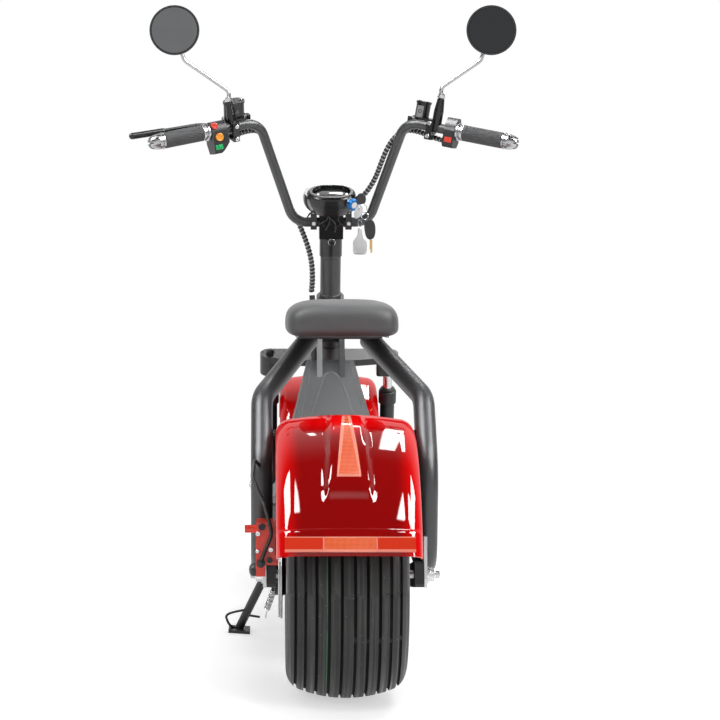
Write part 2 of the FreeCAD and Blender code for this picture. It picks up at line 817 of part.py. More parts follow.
def rear_brake_hose():
    """Hose from the banjo low on the caliper, up in a loop behind the left frame tube and into it."""
    points = ((-159.5, -72.3, 268), (-159.5, -80, 268), (-139, -80, 318), (-151, -74, 369), (-176, -48, 420),
              (-172, -24, 450), (-163, 6.2, 436.3))
    return swept("rear_brake_hose", 3.5, points, (4, 26, 30, 16, 12))


def front_caliper():
    inner = float(d.leg_x - d.leg_radius) - 0.2
    place = STEER * at(-(inner + 92) / 2, FORK_AXLE.y, FORK_AXLE.z + 72)
    body = box("front_caliper_block", inner - 92, 62, 38, place)
    slot = cylinder("front_caliper_slot", d.disc_radius + 3, 8,
                    at(-d.front_disc_x - d.disc_thick - 2, d.wheelbase, d.tyre_radius))
    return cut("front_caliper", body, slot)


def build_frame():
    node("frame_tube_left", frame_tube(-1))
    node("frame_tube_right", frame_tube(1))
    deck()
    node("battery_box", battery())
    node("neck", neck())
    node("head_tube", head_tube())
    plate = gussets()
    node("head_gussets", plate, mirrored("gusset_left", plate))
    node("rear_arms", rear_arms())
    lug = arm_lugs()
    node("arm_lugs", lug, mirrored("arm_lug_left", lug))
    node("rear_axle", axle_bar("rear_axle", d.rear_axle_half, d.arm_x + d.arm_half + d.arm_plate + d.fit, REAR_AXLE))
    node("axle_plates", *axle_plates())
    node("rear_fender", rear_fender())
    node("tail_lamp", tail_lamp())
    node("reflector_strip", reflector_strip())
    stay = fender_stays()
    node("fender_stays", stay, mirrored("fender_stay_left", stay))
    node("saddle", saddle())
    node("seat_base", seat_base())
    node("rear_caliper", rear_caliper())
    node("frame_cords", rear_brake_hose(), loom_frame())


# Steering

UP = FreeCAD.Placement(FreeCAD.Vector(), FreeCAD.Rotation(FreeCAD.Vector(0, 1, 0), -90))


def on_axis(x, y, z):
    """Place on the steering's own axes, local X running up the column."""
    return STEER * at(x, y, z) * UP


BAR_RIGHT = along(BAR_TOP, BAR_END)
BAR_LEFT = along(vec(-BAR_TOP.x, BAR_TOP.y, BAR_TOP.z), vec(-BAR_END.x, BAR_END.y, BAR_END.z))


def column():
    """Crown race, steerer inside the head tube and the thick column above it."""
    race = d.crown_high + d.fit
    points = (
        (race, 0), (race, 27), (d.head_low - 6, 27), (d.head_low - 1, 21), (d.head_low - 1, d.steerer_radius),
        (d.head_high + 1, d.steerer_radius), (d.head_high + 1, d.column_radius + 1),
        (d.head_high + 9, d.column_radius + 1), (d.head_high + 10, d.column_radius),
        (SLEEVE_LOW, d.column_radius), (SLEEVE_LOW, 0),
    )
    return turned("column_tube", points, on_axis(0, 0, 0))


def sleeve():
    """Wider sleeve that the column's top ends in, under the head block."""
    low, high = SLEEVE_LOW + d.fit, SLEEVE_HIGH - d.fit
    r = d.sleeve_radius
    points = ((low, 0), (low, r - 2), (low + 2, r), (high - 2, r), (high, r - 2), (high, 0))
    return turned("column_sleeve", points, on_axis(0, 0, 0))


def head_block():
    high = BLOCK_HIGH - SLEEVE_HIGH
    block = box("head_block_body", d.block_wide, d.block_deep, high,
                STEER * at(0, 0, SLEEVE_HIGH + high / 2))
    bore = cylinder("head_block_bore", d.bar_radius + d.fit, 80, at(-40, BAR_FOOT.y, BAR_FOOT.z))
    return cut("head_block", block, bore)


def bar_clamps():
    """Ring round the bar each side of the head block, with the strap that holds the instrument."""
    half, bore = 7, d.bar_radius + d.fit
    place = at(40, BAR_FOOT.y, BAR_FOOT.z)
    ring = cylinder("clamp_ring", 18, 2 * half, place * at(-half, 0, 0))
    strap = box("clamp_strap", 2 * half, 8, 58, place * at(0, -16, 15))
    whole = fused("clamp_whole", (ring, strap))
    foot = float(BLOCK_HIGH) + 0.3
    tools = (cylinder("clamp_bore", bore, 80, place * at(-40, 0, 0)), pod_bowl("clamp_bowl_room", foot, 0.3),
             pod_lip("clamp_lip_room", foot, 0.3))
    return cut("bar_clamp", whole, *tools)


def fork_crown():
    """Lower yoke: rounded ends round the stanchions, a boss under each end."""
    reach, r = d.leg_x, d.crown_end
    y = d.fork_offset
    points = (
        (-reach, y - r, r), (-42, -10), (-30, -26), (30, -26), (42, -10), (reach, y - r),
        (reach + r, y, r), (reach, y + r, r), (-reach, y + r), (-reach - r, y, r),
    )
    thick = d.crown_high - d.crown_low
    plate = slab("crown_plate", "XY_Plane", points, thick, STEER * at(0, 0, d.crown_low + thick / 2))
    lobe = (
        (reach - 20, y - r, 8), (reach, y - r), (reach + r, y, r), (reach, y + r, r), (reach - 20, y + r),
        (reach - 28, y + r - 8, 8), (reach - 28, y - r + 8),
    )
    drop = d.boss_drop
    boss = slab("crown_boss", "XY_Plane", lobe, drop + 1, STEER * at(0, 0, d.crown_low - drop / 2 + 0.5))
    return fused("crown_whole", (plate, boss, mirrored("crown_boss_left", boss)))


def stanchions():
    low, high = 125, d.crown_low - d.boss_drop - d.fit
    r = d.stanchion_radius
    return turned("stanchion", ((low, 0), (low, r), (high, r), (high, 0)), on_axis(d.leg_x, d.fork_offset, 0))


def fork_legs():
    """Lower leg with its thick seal cap on top and the wider lug round the axle."""
    r, cap, bore = d.leg_radius, d.boot_radius, d.stanchion_radius + 0.3
    low = FORK_AXLE.z - float(d.leg_low)
    points = (
        (low, 0), (low, 12), (low + 8, cap - 2), (low + 60, cap - 2), (low + 74, r), (d.leg_high, r),
        (d.leg_high, cap - 2), (d.leg_high + 2, cap), (d.boot_high - 5, cap), (d.boot_high, cap - 5, -5),
        (d.boot_high, bore), (120, bore), (120, 0),
    )
    leg = turned("fork_leg", points, on_axis(d.leg_x, d.fork_offset, 0))
    hole = cylinder("fork_leg_bore", d.axle_radius + d.fit, 80, at(d.leg_x - 40, d.wheelbase, d.tyre_radius))
    return cut("fork_leg_right", leg, hole)


def front_fender_stay():
    low = FORK_AXLE.z + float(d.front_fender_radius) + 0.3
    high = float(d.crown_low) - 0.3
    low -= 3
    return box("front_fender_stay", 70, 8, high - low, STEER * at(0, d.fork_offset, (low + high) / 2))


def handlebar():
    right = [(d.bar_foot_x, BAR_FOOT.y, BAR_FOOT.z), tuple(BAR_TOP), tuple(BAR_END)]
    left = flipped(right)[::-1]
    bends = (d.bar_high_bend, d.bar_low_bend, d.bar_low_bend, d.bar_high_bend)
    return swept("handlebar", d.bar_radius, left + right, bends)


def grips():
    start = d.collar_end + d.fit
    end = start + d.grip_length
    bore, r = d.bar_radius + d.fit, d.grip_radius
    points = ((start, bore), (start, r - 1), (start + 2, r), (end - 2, r), (end, r - 1), (end, bore))
    return turned("grip", points, BAR_RIGHT)


def grip_caps():
    """Bright stepped collar inboard of the grip, and the notched cap that closes the bar's end."""
    bore, r = d.bar_radius + d.fit, d.grip_radius
    low, high = d.pod_end + d.fit, d.collar_end
    collar = turned("collar", (
        (low, bore), (low, r + 1.5), (low + 1, r + 2.5), (low + 5, r + 2.5), (low + 7, r - 1), (low + 9, r - 1),
        (low + 11, r + 1), (high - 1, r + 1), (high, r), (high, bore)), BAR_RIGHT)
    start = d.collar_end + d.fit + d.grip_length + d.fit
    end = start + d.cap_length
    tip = (BAR_END - BAR_TOP).Length
    whole = turned("cap_whole", (
        (start, bore), (start, r), (start + 1, r + 1), (start + 5, r + 1), (start + 6, r - 1.5), (start + 8, r - 1.5),
        (start + 9, r), (start + 14, r), (end - 2, r - 5, -80), (end, r - 7), (end, 0),
        (tip + d.fit, 0), (tip + d.fit, bore)), BAR_RIGHT)
    slots = [box("cap_slot" + str(turn), 14, 60, 3.4, BAR_RIGHT * at(end + 1, 0, 0, X, turn)) for turn in (0, 60, 120)]
    return collar, cut("end_cap", whole, *slots)


def controls_housing(name, place, start, points, *rooms):
    """Moulded housing clamped round the bar; rooms are the seats of its buttons and other cuts."""
    end = d.pod_end
    body = slab(name + "_body", "YZ_Plane", points, end - start, place * at((start + end) / 2, 0, 0))
    bore = cylinder(name + "_bore", d.bar_radius + d.fit, end - start + 20, place * at(start - 10, 0, 0))
    return cut(name, body, bore, *rooms)


# s along the bar, height off the bar, radius, depth it starts at, depth it ends at
LEFT_BUTTONS = (
    ("flasher_button", 118.3, 11.5, 7.2, 13, 26),
    ("lamp_button", 111.5, -15, 9.2, 13, 28),
)


def switch_pod():
    """Left housing with its two round buttons and the slider, which face the rider."""
    # local Y looks back to the rider
    points = ((-12, -52), (13, -52), (22, -42, 12), (22, -4), (9, 20, 26), (-8, 20), (-20, 4, 22), (-20, -30))
    facing = FreeCAD.Placement(FreeCAD.Vector(), FreeCAD.Rotation(FreeCAD.Vector(0, 0, 1), 90))
    rooms, buttons = [], []
    for name, s, z, radius, low, high in LEFT_BUTTONS:
        spot = BAR_LEFT * at(s, low, z) * facing
        rooms.append(cylinder(name + "_room", radius + d.fit, 30, spot * at(-d.fit, 0, 0)))
        buttons.append(turned(name, ((0, 0), (0, radius), (high - low - 2, radius), (high - low, radius - 2), (high - low, 0)), spot))
    seat = BAR_LEFT * at(116.2, 21.5, -37)
    rooms.append(box("slider_room", 17 + 2 * d.fit, 12, 11 + 2 * d.fit, seat))
    buttons.append(box("slider", 17, 12 - 2 * d.fit, 11, seat))
    rooms.append(slab("pod_bevel", "XZ_Plane", ((80, -21.2), (80, -70), (124.4, -70)), 100, BAR_LEFT))
    return controls_housing("switch_pod", BAR_LEFT, d.pod_start, points, *rooms), buttons


def throttle_housing():
    """Right housing with the red rocker low on its face; local Y looks forward here."""
    points = ((-22, -26), (-13, -38, 14), (12, -38), (20, -26), (20, 6), (8, 29, 28), (-8, 29), (-20, 8, 26), (-22, 0))
    seat = BAR_RIGHT * at(115.5, -19, -20)
    room = box("rocker_room", 17 + 2 * d.fit, 12, 12 + 2 * d.fit, seat)
    rocker = box("rocker", 17, 12 - 2 * d.fit, 12, seat)
    return controls_housing("throttle_housing", BAR_RIGHT, d.throttle_start, points, room), rocker


# lean back about the bar, tank's start and length, mirror's foot along the bar, top of the mirror's boss
BRAKES = {"right": (0, 12, 32, 76, 66), "left": (20, 27, 48, 66, 56)}


def brake_place(side):
    return BAR_RIGHT * at(0, 0, 0, X, BRAKES[side][0])


def rim(start, length, low, high, grow):
    """Outline of a tank with round ends, seen along the bar and away from the rider."""
    r = (high - low) / 2 + grow
    middle = (low + high) / 2
    first, last = start - grow + r, start + length + grow - r
    last = max(last, first + 0.5)
    return ((first, middle - r, r), (last, middle - r), (last + r, middle, r), (last, middle + r, r),
            (first, middle + r), (first - r, middle, r))


def master_cylinder(side):
    """Clamp on the bar, reservoir ahead of it, cylinder below and the mirror's boss, laid out on the right."""
    lean, start, length, foot, boss_top = BRAKES[side]
    place = brake_place(side)
    name = "brake_" + side
    inner = start - 4
    tank = slab(name + "_tank", "XY_Plane", rim(start, length, 7, 39, 0), 36, place * at(0, 0, 30))
    lid = slab(name + "_lid", "XY_Plane", rim(start, length, 7, 39, 1.5), 5, place * at(0, 0, 50))
    barrel = cylinder(name + "_barrel", 10.5, 54, place * at(inner, 25, 7))
    tail = cylinder(name + "_neck", 5, 12, place * at(inner - 10, 25, 7))
    banjo = box(name + "_banjo", 8, 13, 13, place * at(inner - 7, 25, 7))
    clamp = cylinder(name + "_clamp", 17, 17, place * at(57, 0, 0))
    ears = box(name + "_ears", 15, 17, 46, place * at(65.5, -11.5, -6))
    boss = turned(name + "_boss", ((-13, 0), (-13, 11), (boss_top - 36, 11), (boss_top - 8, 8), (boss_top - 8, 0)),
                  BAR_RIGHT * at(foot, -3, 8) * UP)
    web = box(name + "_web", 42, 19, 18, place * at(52, 9.5, 7))
    whole = fused(name + "_whole", (tank, lid, barrel, tail, banjo, clamp, ears, boss, web))
    bore = cylinder(name + "_bore", d.bar_radius + d.fit, 120, place * at(-10, 0, 0))
    return cut(name + "_cylinder", whole, bore)


# how far the round end of the lever reaches, its height off the bar
LEVERS = {"right": (242, 0), "left": (286, -1)}


def brake_lever(side):
    """Flat blade from its pivot at the cylinder's end, then a round finger rest beyond the grip's middle."""
    reach, height = LEVERS[side]
    start = BRAKES[side][1] - 4 + 54 + 0.5
    place = brake_place(side)
    name = "lever_" + side
    points = ((start, 20), (104, 25), (134, 41), (222, 50), (222, 59), (130, 52), (98, 36), (start, 33))
    blade = slab(name + "_blade", "XY_Plane", points, 9, place * at(0, 0, height))
    first, last = place.multVec(vec(214, 54, height)), place.multVec(vec(reach, 54 + (reach - 214) * 0.1, height))
    rest = cylinder(name + "_rest", 7.5, (last - first).Length, along(first, last))
    ends = []
    for number, spot in enumerate((first, last)):
        ball = doc.addObject("Part::Sphere", name + "_end" + str(number))
        bind(ball, Radius=7.5)
        ball.Placement = FreeCAD.Placement(spot, FreeCAD.Rotation())
        ends.append(ball)
    return fused(name + "_whole", (blade, rest, *ends))


# the mirror ball from the bend of the bar
MIRROR = vec(189, -32, 202)


def mirror_stem(side):
    lean, start, length, along_bar, boss_top = BRAKES[side]
    foot = BAR_RIGHT.multVec(vec(along_bar, -3, boss_top + 1.1))
    high = BAR_TOP + MIRROR
    points = (tuple(foot), (foot.x, foot.y, foot.z + 24), (high.x - 21, high.y, high.z - 65), (high.x, high.y, high.z - 4))
    rod = swept("mirror_rod_" + side, 4.5, points, (16, 22))
    ball = doc.addObject("Part::Sphere", "mirror_ball_" + side)
    bind(ball, Radius=9.5)
    ball.Placement = FreeCAD.Placement(high, FreeCAD.Rotation())
    return fused("mirror_stem_" + side, (rod, ball))


def mirror_head():
    spot = BAR_TOP + MIRROR
    place = at(spot.x, spot.y - 34, spot.z + 2, FreeCAD.Vector(0, 0, 1), 90)
    shell = turned("mirror_head", ((0, 0), (0, 52), (-1, 52), (-1, 56), (5, 56), (14, 50, -20), (24, 22, -60), (24, 0)), place)
    glass = turned("mirror_glass", ((-2.2, 0), (-2.2, 51), (-0.2, 51.5), (-0.2, 0)), place)
    return shell, glass


def oval(half_x, half_y, centre, height):
    """Oval of two round ends and two straight sides, across the steering axis."""
    x, r, middle = float(half_x) - float(half_y), float(half_y), float(centre)
    points = ((-x, middle - r, r), (x, middle - r), (x + r, middle, r), (x, middle + r, r),
              (-x, middle + r), (-x - r, middle, r))
    return wire_of(points, at(0, 0, height))


def oval_loft(name, rows):
    """Loft through ovals of the rows' half width, half depth, centre and height up the column."""
    feature = doc.addObject("Part::Feature", name)
    feature.Shape = Part.makeLoft([oval(*row) for row in rows], True, False)
    feature.Placement = STEER
    return feature


def pod_lip(name, foot, grow):
    """The lip's rounded outside; grow adds the fit round it for what is seated on it."""
    rows = ((44, 4), (50, 14), (55, 26), (56, 34), (56, 45), (55, 48.6), (52.8, 51.2), (49.5, 52.4))
    ovals = [oval(half + grow, half - 11.5 + grow, -9, foot + up) for half, up in rows]
    feature = doc.addObject("Part::Feature", name)
    feature.Shape = Part.makeLoft(ovals, True, True)
    feature.Placement = STEER
    return feature


def pod_bowl(name, foot, grow):
    rows = ((42, 26, 0, foot), (62, 46, 4, foot + 16), (65, 50, 4, foot + 32), (62, 47, 4, foot + 44 + grow))
    return oval_loft(name, [(half + grow, deep + grow, centre, up) for half, deep, centre, up in rows])


def instrument_pod():
    """Bright oval bowl, the thick dark lip round it towards the rider, and the glass sunk between them."""
    foot = float(BLOCK_HIGH) + 0.3
    well = ((44, 32.5, -6, foot + 40), (44, 32.5, -6, foot + 60))
    bowl = cut("instrument_pod", pod_bowl("pod_bowl", foot, 0), oval_loft("bowl_well", well))
    lip = cut("pod_lip", pod_lip("pod_lip_full", foot, 0), pod_bowl("lip_room", foot, 0.2), oval_loft("lip_well", well))
    glass = oval_loft("pod_glass", ((43.8, 32.3, -6, foot + 40.2), (43.8, 32.3, -6, foot + 44)))
    return bowl, lip, glass


def ignition_lock():
    foot = float(BLOCK_HIGH) + 0.3
    start = STEER.multVec(vec(37, -35, foot + 36.7))
    end = STEER.multVec(vec(50.2, -53.3, foot + 36.7))
    barrel = cylinder("lock_barrel", 12, 20, along(start, end))
    return cut("ignition_lock", barrel, pod_lip("lock_room", foot, 0.3), pod_bowl("bowl_room", foot, 0.4))


def under_bar(bar, *spots):
    return [tuple(bar.multVec(vec(*spot))) for spot in spots]


def steered(*spots):
    """Points given on the steering's axes: to the right, ahead of the column, up along it."""
    return [tuple(STEER.multVec(vec(*spot))) for spot in spots]


def from_bend(side, *spots):
    """Points given from the bar's upper bend on one side."""
    return [(side * (BAR_TOP.x + x), BAR_TOP.y + y, BAR_TOP.z + z) for x, y, z in spots]


def loom_left():
    """From under the left housing in below the bar, down ahead of the riser and beside the column."""
    bar, head = float(d.bar_height), float(d.head_high)
    points = under_bar(BAR_LEFT, (87.5, -13, -22), (74, -13.2, -22), (20, -20, -15)) + from_bend(
        -1, (-7, 31, -20), (-28.6, 55, -82.2), (-65, 98, -184)) + steered(
        (-76, 25.5, bar - 5.6), (-46, -6.4, bar - 77.6), (-41, -18.9, head + 52.9), (-44, -17.9, head + 23.4))
    return swept("loom_left", 6.5, points, (20, 30, 20, 30, 60, 30, 40, 60, 40))


def loom_right():
    """From the right housing in below the bar, round the riser's top and down inside it to the instrument."""
    points = under_bar(BAR_RIGHT, (101.5, 8, -26), (85, 8, -26), (20, 19, -15)) + from_bend(
        1, (-7, 30.5, -20), (-31, 33.5, -44), (-46.5, 30.5, -74)) + steered(
        (95, -0.7, float(d.bar_height) + 91.5), (72.5, -6.4, float(d.bar_height) + 68.5))
    return swept("loom_right", 6, points, (20, 30, 20, 20, 25, 40, 20))


def loom_frame():
    """The same loom below the steering's turning part: down past the gusset into the neck."""
    points = steered((-43, -23.3, float(d.head_high) + 12.6)) + [
        (-39, RAIL_END + 352, 650), (-39, RAIL_END + 331, 553)]
    return swept("loom_frame", 6.5, points, (80,))


def headlamp():
    """Round lamp ahead of the head tube; its own place, since nothing of it shows from behind."""
    spot = STEER.multVec(vec(0, 50.5, float(d.head_high) - 79.7))
    place = at(spot.x, spot.y, spot.z, FreeCAD.Vector(0, 0, 1), 90)
    bowl = turned("headlamp_bowl", ((0, 0), (0, 20), (14, 42, -40), (40, 50, -60), (44, 50), (44, 0)), place)
    glass = turned("headlamp_glass", ((44.2, 0), (44.2, 47), (49, 40, -20), (52, 0, -200)), place)
    return bowl, glass


def lamp_bracket():
    """Arm from the column, forward and down ahead of the head tube to the lamp's top."""
    head = d.head_high
    points = ((18, head + 13), (18, head + 37), (52, head + 37), (78, head - 8), (86, head - 50), (66, head - 64),
              (46, head - 20), (42, head + 13))
    arm = slab("lamp_arm", "YZ_Plane", points, 30, STEER)
    room = cylinder("lamp_room", d.column_radius + d.fit, 120, on_axis(0, 0, float(head) - 20))
    return cut("lamp_bracket", arm, room)


def build_steering():
    node("column", fused("column_whole", (column(), sleeve())))
    node("head_block", head_block())
    clamp = bar_clamps()
    node("bar_clamps", clamp, mirrored("bar_clamp_left", clamp))
    node("fork_crown", fork_crown())
    tube = stanchions()
    node("stanchions", tube, mirrored("stanchion_left", tube))
    leg = fork_legs()
    node("fork_legs", leg, mirrored("fork_leg_left", leg))
    node("front_axle", axle_bar("front_axle", 178, d.leg_x + d.boot_radius - 2, FRONT_AXLE))
    node("front_fender", fused("front_fender_whole", (front_fender(), front_fender_stay())))
    node("front_caliper", front_caliper())
    node("handlebar", handlebar())
    grip = grips()
    node("grips", grip, mirrored("grip_left", grip))
    collar, cap = grip_caps()
    node("grip_caps", collar, cap, mirrored("collar_left", collar), mirrored("end_cap_left", cap))
    pod, buttons = switch_pod()
    housing, rocker = throttle_housing()
    node("switch_pod", pod)
    node("throttle_housing", housing)
    node("buttons", *buttons, rocker)
    node("master_cylinders", master_cylinder("right"), mirrored("cylinder_left", master_cylinder("left")))
    node("brake_levers", brake_lever("right"), mirrored("lever_left", brake_lever("left")))
    node("mirror_stems", mirror_stem("right"), mirrored("stem_left", mirror_stem("left")))
    shell, glass = mirror_head()
    node("mirror_heads", shell, mirrored("mirror_head_left", shell))
    node("mirror_glasses", glass, mirrored("mirror_glass_left", glass))
    bowl, lip, glass = instrument_pod()
    node("instrument_pod", bowl)
    node("pod_lip", lip)
    node("pod_glass", glass)
    node("ignition_lock", ignition_lock())
    node("bar_looms", loom_left(), loom_right())
    bowl, glass = headlamp()
    node("headlamp", fused("headlamp_whole", (bowl, lamp_bracket())))
    node("headlamp_lens", glass)


# Side stand

PIVOT = (-154, 470, 140)
STAND_REACH = (-53, 74, -126)
HINGE = vec(0.99, 0.076, -0.1).normalize()


def side_stand():
    """Leg down on the floor: laid out where it stands, since its foot is flat on the ground."""
    pivot = LEAN.multVec(vec(*PIVOT))
    hinge = LEAN.Rotation.multVec(HINGE)
    foot = LEAN.multVec(vec(*PIVOT) + vec(*STAND_REACH))
    foot = vec(foot.x, foot.y, 8)
    eye = cylinder("stand_eye", 13, 16, along(pivot - hinge * 8, pivot + hinge * 8))
    leg = cylinder("stand_tube", 9, (foot - pivot).Length, along(pivot, foot))
    pad = box("stand_pad", 46, 60, 6, at(foot.x, foot.y, 3))
    bore = cylinder("stand_bore", 6.5, 60, along(pivot - hinge * 30, pivot + hinge * 30))
    return cut("stand_leg", fused("stand_whole", (eye, leg, pad)), bore)


def stand_bracket():
    """Plate between the battery box and the left rail, with the pin the leg turns on."""
    middle = vec(*PIVOT)
    side = -(float(d.battery_half) + 0.3 + 3)
    pin = cylinder("stand_pin", 6, 32, along(middle - HINGE * 12, middle + HINGE * 20))
    low = PIVOT[2] - 24
    high = float(d.rail_z)
    plate = box("stand_plate", 6, 54, high - low, at(side, PIVOT[1], (low + high) / 2))
    rail = cylinder("stand_rail_room", d.tube_radius + d.fit, 200,
                    along(vec(-d.tube_x, PIVOT[1] - 100, high), vec(-d.tube_x, PIVOT[1] + 100, high)))
    battery = box("stand_battery_room", 100, 200, 300, at(side + 3 + 50, PIVOT[1], PIVOT[2]))
    return cut("bracket_whole", fused("bracket_parts", (pin, plate)), rail, battery)


def build_stand():
    standing("side_stand", side_stand())
    node("stand_bracket", stand_bracket())


wheels()
build_frame()
build_steering()
build_stand()
doc.recompute()


def finish():
    os.makedirs("parts", exist_ok=True)
    for thing in doc.Objects:
        if "Invalid" in thing.State or "Error" in thing.State:
            raise ValueError(thing.Name + " failed: " + str(thing.State))
    for piece in nodes:
        shape = piece.Shape
        if shape.isNull() or not shape.isValid():
            raise ValueError(piece.Label + " has no sound shape")
    for piece in nodes:
        piece.Shape.exportStep("parts/" + piece.Label + ".step")


finish()
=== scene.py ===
import bpy, bmesh, math
from mathutils import Matrix, Vector


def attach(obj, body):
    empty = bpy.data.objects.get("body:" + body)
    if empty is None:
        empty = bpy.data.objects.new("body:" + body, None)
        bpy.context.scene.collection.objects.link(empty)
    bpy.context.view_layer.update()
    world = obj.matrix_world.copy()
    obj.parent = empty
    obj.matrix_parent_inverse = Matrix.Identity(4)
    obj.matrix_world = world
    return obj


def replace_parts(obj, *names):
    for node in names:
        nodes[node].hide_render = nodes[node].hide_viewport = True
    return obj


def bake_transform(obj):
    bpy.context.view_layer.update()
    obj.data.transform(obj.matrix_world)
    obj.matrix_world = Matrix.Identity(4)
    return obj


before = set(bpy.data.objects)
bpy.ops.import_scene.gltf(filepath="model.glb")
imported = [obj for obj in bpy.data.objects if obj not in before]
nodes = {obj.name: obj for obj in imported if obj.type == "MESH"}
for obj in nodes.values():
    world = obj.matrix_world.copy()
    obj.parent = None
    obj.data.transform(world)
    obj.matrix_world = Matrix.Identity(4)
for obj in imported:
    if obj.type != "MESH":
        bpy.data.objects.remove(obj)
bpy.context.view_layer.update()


# The parked scooter.
# It leans four degrees to its left on the side stand, so the pieces are laid out
# upright, with the rear axle at the start, and are then set down leaning.
wheel_radius, lean_angle, hub_spot = 0.229, math.radians(-4), (0.069, -0.587, 0.229051)
lean = Matrix.Translation(hub_spot) @ Matrix.Rotation(lean_angle, 4, "Y") @ Matrix.Translation((0, 0, -wheel_radius))


def at(spot):
    """Where the axes of a piece go that is laid out round an upright spot, in metres."""
    return lean @ Matrix.Translation(spot)


# The camera.
# The photograph was taken level from 4.5 metres behind the rear axle. The camera leans
# with the scooter, so that the scooter stands upright in the picture as it does there.
def linked(name, data):
    """An object with its data, put in the scene."""
    thing = bpy.data.objects.new(name, data)
    bpy.context.collection.objects.link(thing)
    return thing


lens = bpy.data.cameras.new("camera")
lens.lens, lens.sensor_width, lens.shift_x, lens.shift_y = 118.35, 36, 0.1306, -0.2764
camera = linked("camera", lens)
camera.matrix_world = at((-0.15, -4.5, 1.015)) @ Matrix.Rotation(math.radians(90), 4, "X")
bpy.context.scene.camera = camera
bpy.context.scene.view_settings.view_transform = "Standard"


# The finishes.
# Every finish is the standard shader with a few inputs that vary by formula over the
# object's own coordinates; nothing is read from a picture.
class Socket:
    """A node's output that takes part in sums, so that a finish is written as a formula."""

    def __init__(self, tree, link):
        self.tree, self.link = tree, link

    def make(self, kind, settings=None, outlet=0, **values):
        """Any node: its settings first, then what goes into its sockets, by name or by number."""
        node = self.tree.nodes.new(kind if kind.startswith(("Geometry", "Function")) else "ShaderNode" + kind)
        for key, value in (settings or {}).items():
            setattr(node, key, value)
        for key, value in values.items():
            place = int(key[1:]) if key[0] == "_" and key[1:].isdigit() else key.replace("_", " ")
            if isinstance(value, Socket):
                self.tree.links.new(value.link, node.inputs[place])
            else:
                node.inputs[place].default_value = value
        return Socket(self.tree, node.outputs[outlet])

    def sum(self, operation, *others):
        terms = {"_" + str(i): other for i, other in enumerate((self,) + others)}
        return self.make("Math", {"operation": operation}, **terms)

    def __add__(self, other): return self.sum("ADD", other)
    def __radd__(self, other): return self.sum("ADD", other)
    def __sub__(self, other): return self.sum("SUBTRACT", other)
    def __rsub__(self, other): return self.make("Math", {"operation": "SUBTRACT"}, _0=other, _1=self)
    def __mul__(self, other): return self.sum("MULTIPLY", other)
    def __lt__(self, other): return self.sum("LESS_THAN", other)

    def clamp(self): return self.make("Clamp", Value=self)
    def wave(self): return self.sum("SINE")
    def size(self): return self.sum("ABSOLUTE")
    def least(self, other): return self.sum("MINIMUM", other)
    def most(self, other): return self.sum("MAXIMUM", other)

    def step(self, low, high):
        """Soft step from 0 at low to 1 at high."""
        return self.make("MapRange", {"interpolation_type": "SMOOTHSTEP"}, Value=self, From_Min=low, From_Max=high)

    def colours(self, first, second):
        """Blend of two colours, or of colours worked out before, by this value from 0 to 1."""
        first, second = (side if isinstance(side, Socket) else (*side, 1) for side in (first, second))
        return self.make("Mix", {"data_type": "RGBA"}, 2, _0=self, _6=first, _7=second)

    def noise(self, scale, detail=3, rough=0.5):
        return self.make("TexNoise", Vector=self, Scale=scale, Detail=detail, Roughness=rough)

    def split(self):
        parts = self.make("SeparateXYZ", Vector=self).link.node
        return [Socket(self.tree, out) for out in parts.outputs]


def finish(name, build, **settings):
    """A named finish on the standard shader: settings are the same all over, build returns what varies."""
    material = bpy.data.materials.new(name)
    material.use_nodes = True
    tree = material.node_tree
    shader = tree.nodes["Principled BSDF"]
    varied = build(Socket(tree, tree.nodes.new("ShaderNodeTexCoord").outputs["Object"]))
    height = varied.pop("height", None)
    if height:
        relief, depth, reach = height
        varied["Normal"] = relief.make("Bump", None, 0, Strength=depth, Distance=reach, Height=relief)
    for key, value in {**settings, **varied}.items():
        if isinstance(value, Socket):
            tree.links.new(value.link, shader.inputs[key.replace("_", " ")])
        else:
            shader.inputs[key.replace("_", " ")].default_value = value
    return material


def clouded(low, high, scale, detail, rough, vary, grain=None, depth=0.0, reach=0.0):
    """What varies in a plain finish: its colour and roughness in clouds, and a fine grain if it has one."""
    def build(spot):
        cloud = spot.noise(scale, detail)
        look = {"Base_Color": cloud.colours(low, high), "Roughness": rough + cloud * vary}
        if grain:
            look["height"] = (spot.noise(*grain), depth, reach)
        return look
    return build


def paint(material, *names):
    """The finish on CAD nodes."""
    for name in names:
        nodes[name].data.materials.clear()
        nodes[name].data.materials.append(material)


# The studio.
# White paper under the tyres, white all round, a soft box overhead, a tall strip light at
# each side and a window behind the camera.
sheet = bpy.data.meshes.new("floor")
half, below = 40, -0.0008
corners = [(-half, -half, below), (half, -half, below), (half, half, below), (-half, half, below)]
sheet.from_pydata(corners, [], [(0, 1, 2, 3)])
floor = linked("floor", sheet)
paper = bpy.data.materials.new("paper")
paper.use_nodes = True
tree = paper.node_tree
tree.nodes.clear()
ray = tree.nodes.new("ShaderNodeLightPath")
seen = Socket(tree, ray.outputs["Is Camera Ray"]).most(Socket(tree, ray.outputs["Is Glossy Ray"])).most(
    Socket(tree, ray.outputs["Is Transmission Ray"]))
matt = seen.make("BsdfDiffuse", Color=(0.8, 0.8, 0.8, 1))
white = seen.make("Emission", Color=(1, 1, 1, 1), Strength=seen * 0.52)
near = seen.make("AddShader", _0=matt, _1=white)
far = Socket(tree, tree.nodes.new("ShaderNodeTexCoord").outputs["Object"])
far = far.make("VectorMath", {"operation": "LENGTH"}, 1, _0=far).step(1.4, 3.4)
blank = seen.make("Emission", Color=(1, 1, 1, 1), Strength=1.0)
whole = seen.make("MixShader", _0=far * seen, _1=near, _2=blank)
tree.links.new(whole.link, tree.nodes.new("ShaderNodeOutputMaterial").inputs["Surface"])
sheet.materials.append(paper)

